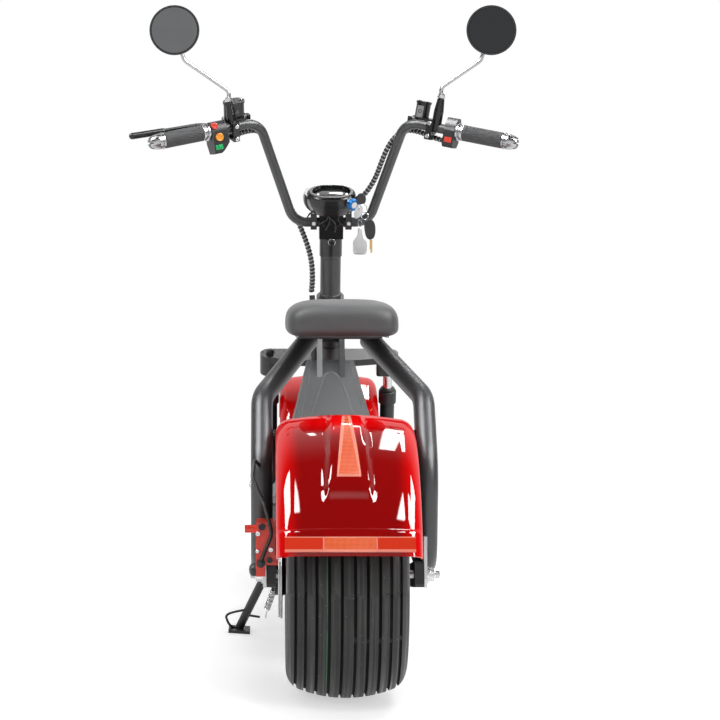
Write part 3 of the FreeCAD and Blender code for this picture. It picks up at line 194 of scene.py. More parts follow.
world = bpy.data.worlds.new("studio")
bpy.context.scene.world = world
world.use_nodes = True
tree = world.node_tree
tree.nodes.clear()
ray = tree.nodes.new("ShaderNodeLightPath")
seen = Socket(tree, ray.outputs["Is Camera Ray"]).most(Socket(tree, ray.outputs["Is Transmission Ray"]))
east, north, high = Socket(tree, tree.nodes.new("ShaderNodeTexCoord").outputs["Generated"]).split()
room = 0.16 + north.step(-0.1, 0.9) * 0.6 + high.step(0.25, 0.9) * 0.25


def pane(left, right, near, far):
    """Sharp-edged window overhead, between two directions east and two north."""
    across = east.step(left, left + 0.012) * east.step(right, right - 0.012)
    return across * north.step(near, near + 0.03) * north.step(far, far - 0.03) * high.step(0.25, 0.3)


# what gloss paint and chrome mirror: a dim room with a few bright windows, and the white backdrop ahead
# each window from left to right and from behind to ahead, as shares of the sky
panes = pane(0.085, 0.155, 0.36, 0.8) + pane(-0.14, -0.11, 0.62, 0.7) + pane(-0.8, -0.285, -0.56, 0.06) \
    + pane(0.235, 0.5, -0.62, -0.27) + pane(0.5, 0.8, -0.62, 0.14) + pane(-0.035, 0.045, 0.66, 0.73)
glow = north.step(-0.7, -0.97) * high.step(0.5, 0.2) * high.step(-0.5, -0.2)
mirrored = 0.05 + north.step(0.1, 0.9) * 0.75 + glow * 1.1 + panes * 14
shiny = Socket(tree, ray.outputs["Is Glossy Ray"])
room = room * (1 - shiny) + mirrored * shiny
light = seen.make("Background", Color=(1, 1, 1, 1), Strength=seen + (1 - seen) * room)
tree.links.new(light.link, tree.nodes.new("ShaderNodeOutputWorld").inputs["Surface"])


def lamp(name, place, target, wide, high, watts):
    light = bpy.data.lights.new(name, "AREA")
    light.shape, light.size, light.size_y, light.energy = "RECTANGLE", wide, high, watts
    thing = linked(name, light)
    thing.location = place
    thing.rotation_euler = (Vector(target) - Vector(place)).to_track_quat("-Z", "Y").to_euler()
    thing.visible_glossy = False


lamp("overhead", (0.5, 0.2, 3.4), (0.07, 0, 0.5), 2.6, 2.2, 55)
lamp("strip_left", (-2.1, -2.4, 1.0), (0.07, -0.4, 0.6), 0.5, 2.0, 26)
lamp("strip_right", (2.2, -2.2, 1.1), (0.07, -0.4, 0.6), 0.5, 2.0, 22)
lamp("window", (1.2, -2.4, 3.0), (0.07, -0.6, 0.5), 1.0, 0.8, 18)


# The tyres.
# Fat, nearly square road tyres of black rubber on both wheels: eleven plain ribs between
# ten round grooves, each groove bridged at one place by a small wear bar.
def set_down(name, mesh, body, angle):
    """An object of a mesh that is smooth but for its edges; it rides on its body, if that is given."""
    mesh.shade_smooth()
    mesh.set_sharp_from_angle(angle=math.radians(angle))
    thing = linked(name, mesh)
    if body:
        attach(thing, body)
    return thing


def solid(name, points, faces, body, material, place=lean, angle=32, turn_out=True):
    """A piece from points in metres, laid out upright and set down leaning."""
    mesh = bpy.data.meshes.new(name)
    mesh.from_pydata([place @ Vector(point) for point in points], [], faces)
    shape = bmesh.new()
    shape.from_mesh(mesh)
    bmesh.ops.remove_doubles(shape, verts=shape.verts, dist=1e-6)
    if turn_out:
        bmesh.ops.recalc_face_normals(shape, faces=shape.faces)
    shape.to_mesh(mesh)
    shape.free()
    mesh.materials.append(material)
    return set_down(name, mesh, body, angle)


def bands(rows, count, around=False, ring=True):
    """Four-sided faces between rows of points: around joins the last row to the first, ring each row's ends."""
    return [(k * count + j, k * count + (j + 1) % count, (k + 1) % rows * count + (j + 1) % count,
             (k + 1) % rows * count + j)
            for k in range(rows if around else rows - 1) for j in range(count if ring else count - 1)]


def ends(rows, count):
    """The first and the last row of the same points, each closed by one face."""
    return [tuple(range(count)), tuple((rows - 1) * count + j for j in range(count))]


def circle(count):
    """Evenly spaced angles round a circle."""
    return [2 * math.pi * k / count for k in range(count)]


def on_axle(x, r, a):
    """A point in metres from a place along an axle and a radius in mm, and an angle."""
    return (x / 1000, r / 1000 * math.cos(a), r / 1000 * math.sin(a))


def lathe(points, count, closed=True):
    """Points and faces of a profile of (along, radius) in mm, turned about the X axis."""
    return [on_axle(x, r, a) for a in circle(count) for x, r in points], bands(count, len(points), True, closed)


def arc(start, end, radius, count):
    """Points of a bulging arc between two profile points, the first left out."""
    a, b = Vector(start), Vector(end)
    half = (b - a) / 2
    out = Vector((half.y, -half.x)).normalized()
    centre = a + half - out * math.sqrt(max(radius ** 2 - half.length_squared, 0)) * (1 if radius > 0 else -1)
    first = math.atan2(*(a - centre).yx)
    sweep = math.atan2(*(b - centre).yx) - first
    sweep = (sweep + math.pi) % (2 * math.pi) - math.pi
    return [(centre.x + abs(radius) * math.cos(first + sweep * k / count),
             centre.y + abs(radius) * math.sin(first + sweep * k / count)) for k in range(1, count + 1)]


def rubber(spot):
    fine = spot.noise(260, 4, 0.6)
    broad = spot.noise(18, 3)
    spread = spot.make("UVMap")
    across = spread.split()[0]
    streak = spread.make("Mapping", Vector=spread, Scale=(130, 2.2, 1)).noise(1, 3)
    groove = spot.make("Attribute", {"attribute_name": "groove"}, 2)
    line = (across + 0.0392).size() < 0.0007
    dust = broad.step(0.35, 0.8)
    # the ribs are paler in broad clouds of dust, and paler along the streaks as painted sheen for streaks of light on
    # the rubber
    dust_and_sheen = dust * 0.4 + streak.step(0.42, 0.6) * 0.6
    colour = dust_and_sheen.colours((0.0055, 0.0055, 0.0053), (0.031, 0.031, 0.0297))
    speck = spot.make("TexVoronoi", Vector=spot, Scale=75).step(0.1, 0.06) * 0.8
    colour = speck.colours(colour, (0.12, 0.12, 0.12))
    # painted shade: the tread's grooves are coloured nearly black
    colour = (groove * 0.9).colours(colour, (0.002, 0.002, 0.002))
    colour = (line * broad.step(0.3, 0.55)).colours(colour, (0.01, 0.16, 0.06))
    return {"Base_Color": colour, "Roughness": 0.5 + broad * 0.14 + groove * 0.4 - streak.step(0.45, 0.7) * 0.28,
            "height": (fine, 0.25, 0.0008)}


tyre_rubber = finish("tyre_rubber", rubber, Specular_IOR_Level=0.45)
wheelbase = 1.25
rear_hub, front_hub = (0, 0, wheel_radius), (0, wheelbase, wheel_radius)
# in mm, but for the share of a groove's depth left at a wear bar, and its half width in degrees
grooves = (-95.5, -77.6, -57.5, -35, -12, 12, 35, 57.5, 77.6, 95.5)
groove_steps = ((-3.2, 0), (-2.7, 0.5), (-2.3, 5.5), (2.3, 5.5), (2.7, 0.5), (3.2, 0))
crown_round, shoulder_round, crown_half = 250, 40, 87
shoulder, rim_edge, rim_seat, half_rim = (113.08, 175.87), (96, 111), 104.2, 60
bridge, bar_turn, segments = 0.15, 1.5, 252


def crown(x):
    """Radius of the tread at a place across it, in mm: one wide round and a small one at each shoulder."""
    if abs(x) < crown_half:
        return wheel_radius * 1000 - crown_round + math.sqrt(crown_round ** 2 - x * x)
    middle = shoulder[0] - shoulder_round
    return shoulder[1] + math.sqrt(max(shoulder_round ** 2 - (abs(x) - middle) ** 2, 0))


def tyre_profile():
    """Places, radii and depths below the tread: the lip, the floor and the lip of every groove."""
    marks = [(x, crown(x), 0) for x in (-112.6, -111, -108, -104, -100)]
    for x in grooves:
        marks += [(x + step, crown(x + step), depth) for step, depth in groove_steps]
        between = [x + k for k in (7, 12, 17) if x + k < 99]
        marks += [(spot, crown(spot), 0) for spot in between if all(abs(spot - groove) >= 4 for groove in grooves)]
    marks += [(-x, r, d) for x, r, d in marks[4::-1]]
    return sorted(marks)


def tyre(name, body, middle, bar_at, replaced):
    """A tyre round its hub: bar_at is the angle of its wear bars, on the right half, in degrees."""
    side = arc(shoulder, rim_edge, -110, 10)
    rows = tyre_profile()
    right = [(*shoulder, 0)] + [(x, r, 0) for x, r in side] + [(rim_edge[0], rim_seat, 0), (half_rim, rim_seat, 0)]
    rows = rows + right + [(-x, r, d) for x, r, d in right[::-1]]
    points = []
    for i in range(segments):
        turn = 360 * i / segments
        a = math.radians(turn)
        for x, r, depth in rows:
            place = bar_at if x > 0 else bar_at + 140
            bar = abs((turn - place - abs(x) * 0.03 + 180) % 360 - 180) < bar_turn
            points.append(on_axle(x, r - depth * (bridge if bar else 1), a))
    n = len(rows)
    thing = solid(name, points, bands(segments, n, True), body, tyre_rubber, at(middle))
    home = at(middle).inverted()
    groove = thing.data.attributes.new("groove", "FLOAT", "POINT")
    for k in range(len(points)):
        groove.data[k].value = rows[k % n][2] > 1
    spread = thing.data.uv_layers.new(name="UVMap")
    for loop in thing.data.loops:
        spot = home @ thing.data.vertices[loop.vertex_index].co
        spread.data[loop.index].uv = (spot.x, math.atan2(spot.z, spot.y) * 0.22)
    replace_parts(thing, replaced)


tyre("rear_tread", "rear_wheel", rear_hub, 201, "rear_tyre")
tyre("front_tread", "front_wheel", front_hub, 80, "front_tyre")


# The rims, the hub motor and the brake discs.
# Satin black pressed rims, a cast motor shell in the rear one, and a drilled steel disc
# with its carrier on the left of each hub.
def steel(spot):
    grain = spot.make("Mapping", Vector=spot, Scale=(900, 40, 40)).noise(1, 3)
    return {"Base_Color": grain.colours((0.42, 0.42, 0.43), (0.66, 0.66, 0.67)), "Roughness": 0.24 + grain * 0.2}


satin_black = finish("satin_black", clouded((0.008, 0.008, 0.009), (0.015, 0.015, 0.016), 9, 2, 0.34, 0.14,
                                            (420, 2), 0.08, 0.0004), Specular_IOR_Level=0.5)
gloss_black = finish("gloss_black", clouded((0.004, 0.004, 0.0045), (0.009, 0.009, 0.0095), 12, 2, 0.2, 0.1,
                                            (220, 2), 0.04, 0.0002), Specular_IOR_Level=0.55)
ground_steel = finish("ground_steel", steel, Metallic=1.0)
paint(satin_black, "front_rim", "rear_rim", "hub_motor")


def drilled_disc(name, body, middle, near, inner, replaced):
    """Ring of cells with a round hole each, three to a ray, with plain edges, and the turned carrier inside it."""
    rays, hole, thick, points, faces = 30, 3.4, 4, [], []
    face_x = inner - thick
    wide = 2 * math.pi / rays
    for ray in range(rays):
        for row, (low, high) in enumerate(((44, 56), (56, 68), (68, 80))):
            base = wide * (ray + row * 0.33)
            middle_r, first = (low + high) / 2, len(points)
            for across, up in ((-1, -1), (0, -1), (1, -1), (1, 0), (1, 1), (0, 1), (-1, 1), (-1, 0)):
                points.append(on_axle(face_x, middle_r + up * (high - low) / 2, base + across * wide / 2))
            for turn in [math.radians(-135 + 45 * k) for k in range(8)]:
                a = base + hole * math.cos(turn) / middle_r
                points.append(on_axle(face_x, middle_r + hole * math.sin(turn), a))
            faces += [(first + k, first + (k + 1) % 8, first + 8 + (k + 1) % 8, first + 8 + k) for k in range(8)]
    for edge in ((36, 44), (80, 82)):
        ring, more = lathe([(face_x, r) for r in edge], rays * 2, False)
        faces += [tuple(len(points) + k for k in face) for face in more]
        points += ring
    disc = solid(name, points, faces, body, ground_steel, at(middle), turn_out=False)
    wall = disc.modifiers.new("wall", "SOLIDIFY")
    wall.thickness, wall.offset = thick / 1000, 1
    profile = ((near, 8), (near, 26), (inner, 40), (inner - 0.1, 45), (face_x + 0.1, 45), (face_x, 8))
    hub, faces = lathe(profile, 48)
    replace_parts(disc, replaced)
    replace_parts(solid(name + "_carrier", hub, faces, body, satin_black, at(middle)), replaced)


hub_face = -84.2
drilled_disc("rear_disc", "rear_wheel", rear_hub, hub_face, -119, "rear_brake_disc")
drilled_disc("front_disc", "front_wheel", front_hub, hub_face, -104, "front_brake_disc")


# The frame.
# Two loops of bent steel tube carry the saddle, the fender and the footboard. They are welded
# up and painted satin metallic grey. The sheet neck in front has the same paint, but is coloured
# a paler grey as painted highlight for the light on its upward face.
mm = Matrix.Scale(0.001, 4)


def set_upright(spot, place=lean):
    """Object coordinates turned back to the upright layout, or into a place's own axes, in metres."""
    back = place.inverted()
    return spot.make("Mapping", Vector=spot, Location=back.translation[:], Rotation=back.to_euler()[:])


def metallic_grey(spot):
    fleck, cloud = spot.noise(1400, 2), spot.noise(6, 3)
    rub = spot.noise(38, 5, 0.7).step(0.66, 0.72) * 0.5
    return {"Base_Color": cloud.colours((0.055, 0.056, 0.059), (0.08, 0.081, 0.084)),
            "Metallic": 0.35 + fleck * 0.25, "Roughness": 0.34 + cloud * 0.1 + rub * 0.12,
            "height": (fleck, 0.05, 0.0002)}


def ridged_mat(spot):
    x, y, z = set_upright(spot).split()
    ribs = (x * 700).wave()
    dirt = spot.noise(30, 4)
    return {"Base_Color": dirt.colours((0.018, 0.018, 0.018), (0.04, 0.039, 0.037)),
            "Roughness": 0.62 + dirt * 0.2, "height": (ribs.clamp(), 0.5, 0.0015)}


def gusset_grey(spot):
    fleck = spot.noise(1100, 2)
    # painted highlight: the left gusset is coloured pale and more metallic than the right one, for the light that
    # falls on it
    left = set_upright(spot).split()[0].step(0.012, -0.012)
    return {"Base_Color": left.colours((0.09, 0.092, 0.095), (0.34, 0.342, 0.346)), "Metallic": 0.2 + left * 0.4,
            "Roughness": 0.34 + fleck * 0.1}


gunmetal = finish("gunmetal_paint", metallic_grey, Coat_Roughness=0.18)
# a paler grey: on the neck and its beads this is painted highlight for their upward face, lit from above
grey_panel = finish("grey_panel_paint", clouded((0.088, 0.09, 0.093), (0.116, 0.118, 0.121), 8, 4, 0.42, 0.16,
                                                (1100, 2), 0.06, 0.0002), Metallic=0.1)
paint(gunmetal, "frame_tube_left", "frame_tube_right", "deck_plate", "head_tube")
paint(grey_panel, "neck")
paint(finish("gusset_grey", gusset_grey), "head_gussets")
paint(finish("ribbed_mat", ridged_mat), "deck_mat")
paint(satin_black, "battery_box", "rear_arms", "arm_lugs", "fender_stays", "stand_bracket", "seat_base")
paint(ground_steel, "axle_plates", "rear_axle")


def ridge(name, path, width, height):
    """Low rounded bead pressed up along a path on the neck, in mm."""
    spots, sides = [Vector(point) for point in path], 9
    rise, points = Vector((0, -0.5665, 0.824)).normalized(), []
    for k, spot in enumerate(spots):
        ahead = (spots[min(k + 1, len(spots) - 1)] - spots[max(k - 1, 0)]).normalized()
        side = ahead.cross(rise).normalized()
        fade = 0.2 if k in (0, len(spots) - 1) else 1
        points += [spot + side * (width * math.cos(a)) + rise * (height * fade * math.sin(a) - 0.15)
                   for a in [math.pi * j / (sides - 1) for j in range(sides)]]
    faces = bands(len(spots), sides) + ends(len(spots), sides)
    solid(name, points, faces, "frame", grey_panel, lean @ mm)


def on_neck(x, z):
    """A place on the neck's sloping back at a height; its foot is 600 ahead and 278 up."""
    return (x, 600 + (z - 278) * 400 / 275, z)


arch_top, arch_half, arch_rise = 510, 22, 19
arch = [on_neck(-arch_half - (arch_top - z) * 0.41, z) for z in range(398, 511, 8)]
arch += [on_neck(-arch_half * math.cos(math.pi * k / 12), arch_top + arch_rise * math.sin(math.pi * k / 12))
         for k in range(1, 12)]
arch += [(-x, y, z) for x, y, z in arch[14::-1]]
ridge("neck_arch", arch, 3.6, 1.5)
for side, word in ((-1, "left"), (1, "right")):
    ridge("neck_fold_" + word, [on_neck(side * (44 + (545 - z) * 0.2667), z) for z in range(300, 548, 13)], 1.8, 0.9)
ridge("neck_lip", [on_neck(x, 549) for x in range(-50, 51, 5)], 2.2, 1.2)


# The fasteners of the frame.
# Socket-head screws and nuts of plated steel, each kind made once and set down in copies:
# here a nut at each end of the rear axle and two brass-coloured screws in the stand's bracket.
def grown(name, base, inputs, build, body, material, angle=32):
    """A plain mesh that a node tree makes from a base mesh; inputs are rows of name, kind and value."""
    tree = bpy.data.node_groups.new(name, "GeometryNodeTree")
    tree.interface.new_socket("Base", in_out="INPUT", socket_type="NodeSocketGeometry")
    held = []
    for label, kind, value in tuple(inputs) + (("Finish", "Material", material),):
        socket = tree.interface.new_socket(label, in_out="INPUT", socket_type="NodeSocket" + kind)
        held.append((socket.identifier, value))
    tree.interface.new_socket("Made", in_out="OUTPUT", socket_type="NodeSocketGeometry")
    start = tree.nodes.new("NodeGroupInput")
    sockets = [Socket(tree, outlet) for outlet in start.outputs[:-1]]
    made = build(*sockets[:-1])
    made = made.make("GeometryNodeRealizeInstances", Geometry=made)
    made = made.make("GeometryNodeSetMaterial", Geometry=made, Material=sockets[-1])
    tree.links.new(made.link, tree.nodes.new("NodeGroupOutput").inputs[0])
    seed = linked(name + "_base", base)
    growth = seed.modifiers.new("growth", "NODES")
    growth.node_group = tree
    for identifier, value in held:
        growth[identifier] = value
    graph = bpy.context.evaluated_depsgraph_get()
    mesh = bpy.data.meshes.new_from_object(seed.evaluated_get(graph), preserve_all_data_layers=True, depsgraph=graph)
    bpy.data.objects.remove(seed)
    mesh.name = name
    return set_down(name, mesh, body, angle)


def head_shape(name, rings):
    """Small closed shape about Z from rings of (radius, height, sides), sides 6 for a hexagon, 0 for round."""
    points, count = [], 24
    for radius, height, sides in rings:
        for a in circle(count):
            r = radius * math.cos(math.pi / 6) / math.cos(a % (math.pi / 3) - math.pi / 6) if sides else radius
            points.append((r * math.cos(a), r * math.sin(a), height))
    foot, top = ends(len(rings), count)
    faces = bands(len(rings), count) + [foot[::-1], top]
    mesh = bpy.data.meshes.new(name)
    mesh.from_pydata(points, [], faces)
    return linked(name, mesh)


screw = head_shape("screw_head", ((1, -0.6, 0), (1, 0.75, 0), (0.88, 0.9, 0), (0.56, 0.9, 6), (0.5, 0.84, 6),
                                  (0.5, 0.4, 6)))
nut = head_shape("nut_head", ((1.25, -0.3, 0), (1.25, 0.12, 0), (1.0, 0.13, 6), (1.0, 0.8, 6), (0.92, 0.92, 6),
                              (0.6, 0.92, 0), (0.58, 1.15, 0), (0.5, 1.2, 0)))
plated_steel = finish("plated_steel", clouded((0.55, 0.55, 0.56), (0.72, 0.72, 0.73), 160, 3, 0.16, 0.2), Metallic=1.0)
brass = finish("brass", clouded((0.55, 0.36, 0.11), (0.7, 0.5, 0.2), 120, 3, 0.22, 0.2), Metallic=1.0)


def fitted(name, tool, spots, place=lean, material=plated_steel, body="steering"):
    """Copies of a small shape: spots are rows of place in mm, the way it points, and its size in mm."""
    base = bpy.data.meshes.new(name)
    base.from_pydata([place @ (Vector(spot) / 1000) for spot, way, size in spots], [], [])
    for label, kind in (("way", "FLOAT_VECTOR"), ("size", "FLOAT")):
        base.attributes.new(label, kind, "POINT")
    ways, sizes = base.attributes["way"], base.attributes["size"]
    turn = place.to_3x3()
    for k, (spot, way, size) in enumerate(spots):
        ways.data[k].vector = turn @ Vector(way)
        sizes.data[k].value = size / 1000

    def build(points, shape):
        way = points.make("GeometryNodeInputNamedAttribute", {"data_type": "FLOAT_VECTOR"}, Name="way")
        size = points.make("GeometryNodeInputNamedAttribute", {"data_type": "FLOAT"}, Name="size")
        turned = points.make("FunctionNodeAlignRotationToVector", {"axis": "Z"}, Vector=way)
        body_of = points.make("GeometryNodeObjectInfo", None, "Geometry", Object=shape)
        return points.make("GeometryNodeInstanceOnPoints", Points=points, Instance=body_of, Rotation=turned,
                           Scale=size)

    grown(name, base, (("Shape", "Object", tool),), build, body, material)


both, axle_up = (-1, 1), 229
fitted("axle_nuts", nut, [((side * 157, 0, axle_up), (side, 0, 0), 13.5) for side in both], body="frame")
fitted("stand_screws", screw, [((-139, y, 196), (-1, 0, 0), 5) for y in (452, 488)], material=brass, body="frame")


# The rear fender.
# One pressed sheet-steel shell over the tyre, painted gloss red and lacquered, with a raised
# hump that carries the tail lamp and a stepped band along its lower edge.
def gloss_red(spot):
    cloud, peel = spot.noise(5, 2), spot.noise(160, 2)
    x, y, z = set_upright(spot).split()
    # painted shade: the middle of the rear fender's back, between its sides and below its top, is coloured dark red
    # where it turns down and away from the lamps
    painted_shade = (x.size() * 1000).step(126, 84) * (z * 1000).step(530, 505) * y.step(0.4, 0.2)
    base = cloud.colours((0.8, 0.0, 0.001), (0.9, 0.001, 0.002))
    colour = (painted_shade * 0.9).colours(base, (0.24, 0.0, 0.0))
    return {"Base_Color": colour, "Roughness": 0.24 + peel * 0.06, "height": (peel, 0.02, 0.0002)}


red_paint = finish("gloss_red_paint", gloss_red, Specular_IOR_Level=0.0, Coat_Weight=0.5, Coat_IOR=2.3,
                   Coat_Roughness=0.015)


def smooth(low, high, value):
    t = max(0.0, min(1.0, (value - low) / (high - low)))
    return t * t * (3 - 2 * t)


def shell_row(half, radius, wall, corner, rise, skirt):
    """Outside of the fender's section from its right edge over the top to its left edge, then the inside back."""
    flat, shoulder = half - corner, radius - rise
    low, bend = shoulder - corner, (flat * flat + rise * rise) / (2 * rise)
    outer = [(half, low - skirt), (half, low - skirt / 2), (half, low)]
    outer += arc((half, low), (flat, shoulder), corner, 12) + arc((flat, shoulder), (-flat, shoulder), bend, 44)
    outer += arc((-flat, shoulder), (-half, low), corner, 12) + [(-half, low - skirt / 2), (-half, low - skirt)]
    inner = []
    for k, (x, r) in enumerate(outer):
        a, b = outer[max(k - 1, 0)], outer[min(k + 1, len(outer) - 1)]
        out = Vector((a[1] - b[1], b[0] - a[0])).normalized()
        inner.append((x + out.x * wall, r + out.y * wall))
    return outer, inner[::-1]


def fender(name, body, middle, size, first, last, steps, lift):
    """Shell round the wheel from one angle to another; lift(x, angle) raises its outside, in mm."""
    outer, inner = shell_row(*size)
    n, points = len(outer) + len(inner), []
    for k in range(steps + 1):
        turn = first + (last - first) * k / steps
        a = math.radians(turn)
        for j, (x, r) in enumerate(outer + inner):
            points.append(on_axle(x, r + (lift(x, turn) if j < len(outer) else 0), a))
    faces = bands(steps + 1, n)
    for base in (0, steps * n):
        faces += [(base + j, base + j + 1, base + n - 2 - j, base + n - 1 - j) for j in range(len(outer) - 1)]
    return solid(name, points, faces, body, red_paint, at(middle), angle=40)


def rear_lift(x, turn):
    """How far the hump and the ledge stand proud; the hump widens toward its foot."""
    half = 30 + ((turn - 119) * 5.27 + 140) / 270 * 13
    hump = 11 * smooth(0, 1, (half + 5 - abs(x)) / 11) * smooth(94, 100, turn) * smooth(146, 139, turn)
    ledge = 5 * smooth(154.4, 155.2, turn) * smooth(133, 127, abs(x))
    return hump + ledge


# half width, outer radius, wall, corner, rise of the crown, skirt
rear_size, front_size = (132, 302, 3, 30, 8, 14), (117, 266, 3, 26, 7, 8)
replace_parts(fender("rear_fender_shell", "frame", rear_hub, rear_size, 38, 164, 168, rear_lift), "rear_fender")


# The lamp and the reflector on the rear fender.
# Moulded lenses of clear orange plastic with fine prisms on the inside: the tapered tail
# lamp has a paler rim, and the strip has plain ends and two dividers.
def prisms(x, z):
    """Fine crossed prisms, as a value from 0 to 1."""
    a, b = ((x + z) * 1500).wave(), ((x - z) * 1500).wave()
    return (a * b).step(-0.4, 0.4)


def lamp_lens(spot):
    x, y, z = set_upright(spot).split()
    cut = prisms(x, z)
    edge = (0.528 - z) * 0.178 + 0.0045
    rim = (x.size() - edge).step(-0.0008, 0.0008)
    plain = rim.most(z.step(0.452, 0.449)) * z.step(0.44, 0.448) + rim * z.step(0.452, 0.449)
    colour = cut.colours((0.5, 0.012, 0.002), (1.0, 0.2, 0.05))
    colour = (plain * 0.8).colours(colour, (0.95, 0.36, 0.26))
    glow = cut.colours((0.03, 0.001, 0.0), (0.1, 0.014, 0.003))
    return {"Base_Color": colour, "Emission_Color": glow, "Roughness": 0.08 + cut * 0.1, "height": (cut, 0.3, 0.0008)}


def strip_lens(spot):
    x, y, z = set_upright(spot).split()
    cut = prisms(x, z)
    inside = x.size().step(0.0465, 0.0455)
    bar = (x.size() - 0.0475).size().step(0.0016, 0.0008)
    edge = (z * 1000 - 335.5).size().step(9.3, 10.3)
    colour = cut.colours((0.55, 0.018, 0.004), (1.0, 0.22, 0.06))
    colour = inside.colours((0.7, 0.04, 0.014), colour)
    pale = bar.most(edge)
    colour = (pale * 0.8).colours(colour, (0.9, 0.34, 0.26))
    # painted glow: the strip's faint orange emission stands in for light, as a reflector gives none of its own
    glow = (cut * inside).colours((0.03, 0.001, 0.0), (0.08, 0.012, 0.003))
    return {"Base_Color": colour, "Emission_Color": glow, "Roughness": 0.07 + cut * inside * 0.12,
            "height": (cut * inside, 0.25, 0.0008)}


def lamp_row(half, low):
    """Half of the lamp's section, in mm: out over its raised rim and down to the prismatic face."""
    return [(0, low), (half - 3.4, low), (half - 2.6, low + 1.2), (half - 0.8, low + 1.2), (half, low + 0.4),
            (half, low - 4)]


tail_lens = finish("tail_lens", lamp_lens, Emission_Strength=1.0, Coat_Weight=0.4)
first, sweep, narrow, widening, rim_up = 101.4, 34.9, 7, 15, 316.6
spots, steps = [], 46
for k in range(steps + 1):
    share = k / steps
    a = math.radians(first + sweep * share)
    out = narrow + widening * share
    dip = rim_up - 4 * (1 - smooth(0, 0.05, share)) - 4.5 * smooth(0.975, 1, share)
    face = 0 if 0.07 < share < 0.93 else 1.1
    row = [(x, r + (face if 0 <= x < out - 3 and r <= dip else 0)) for x, r in lamp_row(out, dip)]
    row = row + [(-x, r) for x, r in row[:0:-1]]
    spots += [on_axle(x, r, a) for x, r in row]
n = len(row)
faces = bands(steps + 1, n) + ends(steps + 1, n)
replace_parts(solid("tail_lens", spots, faces, "frame", tail_lens, at(rear_hub)), "tail_lamp")
paint(finish("reflector_lens", strip_lens, Emission_Strength=1.0, Coat_Weight=0.6), "reflector_strip")


# The rear brake.
# A cast two-piston caliper in orange-red anodised aluminium over the left of the disc, with
# its black bolts, bleed nipple and banjo, and a slim hose looped behind the frame tube.
def anodised(spot):
    cast, cloud = spot.noise(500, 3), spot.noise(25, 3)
    chips = spot.noise(90, 5, 0.75).step(0.7, 0.74)
    colour = cloud.colours((0.66, 0.03, 0.014), (0.82, 0.05, 0.022))
    colour = chips.colours(colour, (0.5, 0.44, 0.42))
    return {"Base_Color": colour, "Roughness": 0.28 + cast * 0.2, "height": (cast, 0.15, 0.0004)}


caliper_orange = finish("caliper_orange", anodised, Coat_Weight=0.3)
black_rubber = finish("black_rubber", clouded((0.012, 0.012, 0.012), (0.03, 0.03, 0.03), 60, 3, 0.35, 0.2))
paint(caliper_orange, "rear_caliper", "front_caliper")
paint(black_rubber, "frame_cords")
back = (0, -1, 0)
bolts = [((-165, -72.4, 318), back, 4.5), ((-141, -72.4, 288), back, 4.5), ((-166, -72.4, 285), back, 3.5)]
pins = [((-158, -72.4, 331), back, 6.5), ((-143, -72.4, 268), back, 5)]
fitted("caliper_bolts", screw, bolts, body="frame")
fitted("caliper_pins", screw, pins, material=satin_black, body="frame")
fitted("banjo_bolt", nut, [((-159.5, -78, 263), back, 6.5)], material=satin_black, body="frame")
dome, faces = lathe([(-x, r) for x, r in ((0, 0), (0, 12), (5, 12.5), (9, 11), (12, 7), (13, 0))], 40, False)
solid("bleed_cap", dome, faces, "frame", black_rubber, at((-0.169, -0.052, 0.247)))


# The saddle.
# A wide moulded foam cushion under a stretched, finely grained grey cover, pulled down
# over its pan and stapled below, with a welted seam just above the lower edge.
def cover(spot):
    x, y, z = set_upright(spot).split()
    grain = spot.make("TexVoronoi", {"feature": "DISTANCE_TO_EDGE"}, Vector=spot, Scale=620)
    cloud, soft = spot.noise(14, 3), spot.noise(260, 3)
    # painted light: the top is coloured paler as painted highlight from the lamps overhead, and the foot darker as
    # painted shade along the cushion's underside
    top, foot = (z * 1000).step(715, 742), (z * 1000).step(692, 672)
    colour = cloud.colours((0.058, 0.059, 0.061), (0.078, 0.079, 0.081))
    colour = (top * 0.5).colours(colour, (0.15, 0.15, 0.152))
    colour = (foot * 0.8).colours(colour, (0.014, 0.015, 0.017))
    return {"Base_Color": colour, "Roughness": 0.42 + cloud * 0.1,
            "height": (grain.least(0.12) * 6 + soft * 0.4, 0.22, 0.0006)}


saddle_cover = finish("saddle_cover", cover, Sheen_Weight=0.06, Specular_IOR_Level=0.45)
half_width, pan, crest, waist_share, seam_share = 112, 670, 744, 0.34, 0.82
# how far along, share of the half width, bottom above the pan, top below the crest
saddle_rows = ((87, 0.50, 17, 33), (90, 0.72, 10, 22), (97, 0.86, 4, 12), (110, 0.945, 1, 6), (135, 0.985, 0, 3),
               (180, 1.0, 0, 2.5), (250, 1.0, 0, 6), (320, 0.985, 0, 10), (380, 0.91, 1, 14.5), (430, 0.80, 1, 19),
               (475, 0.66, 2, 24), (503, 0.52, 5, 30), (516, 0.38, 10, 36), (520, 0.26, 15, 42))


def saddle_ring(y, share, up, down, count=56):
    """Section of the cushion: flat below, widest low down, leaning in to a round shoulder and a crowned top."""
    half, low, high = half_width * share, pan + up, crest - down
    waist, ring = low + (high - low) * waist_share, []
    for a in circle(count):
        c, s = math.cos(a), math.sin(a)
        if s >= 0:
            x = half * math.copysign(abs(c) ** 0.5, c) * (1 - 0.02 * s)
            z = waist + (high - waist) * abs(s) ** 0.72
        else:
            x = half * math.copysign(abs(c) ** 0.36, c)
            z = waist - (waist - low) * abs(s) ** 0.5
        ring.append((x, y, z))
    return ring


def spline(name, spots, order=3, closed=False, steps=12):
    """A curve object: a NURBS spline drawn toward the points."""
    guide = bpy.data.curves.new(name, "CURVE")
    guide.dimensions, guide.resolution_u = "3D", steps
    line = guide.splines.new("NURBS")
    line.points.add(len(spots) - 1)
    for spot, point in zip(spots, line.points):
        point.co = (*spot, 1)
    line.order_u, line.use_cyclic_u, line.use_endpoint_u = order, closed, not closed
    return linked(name, guide)


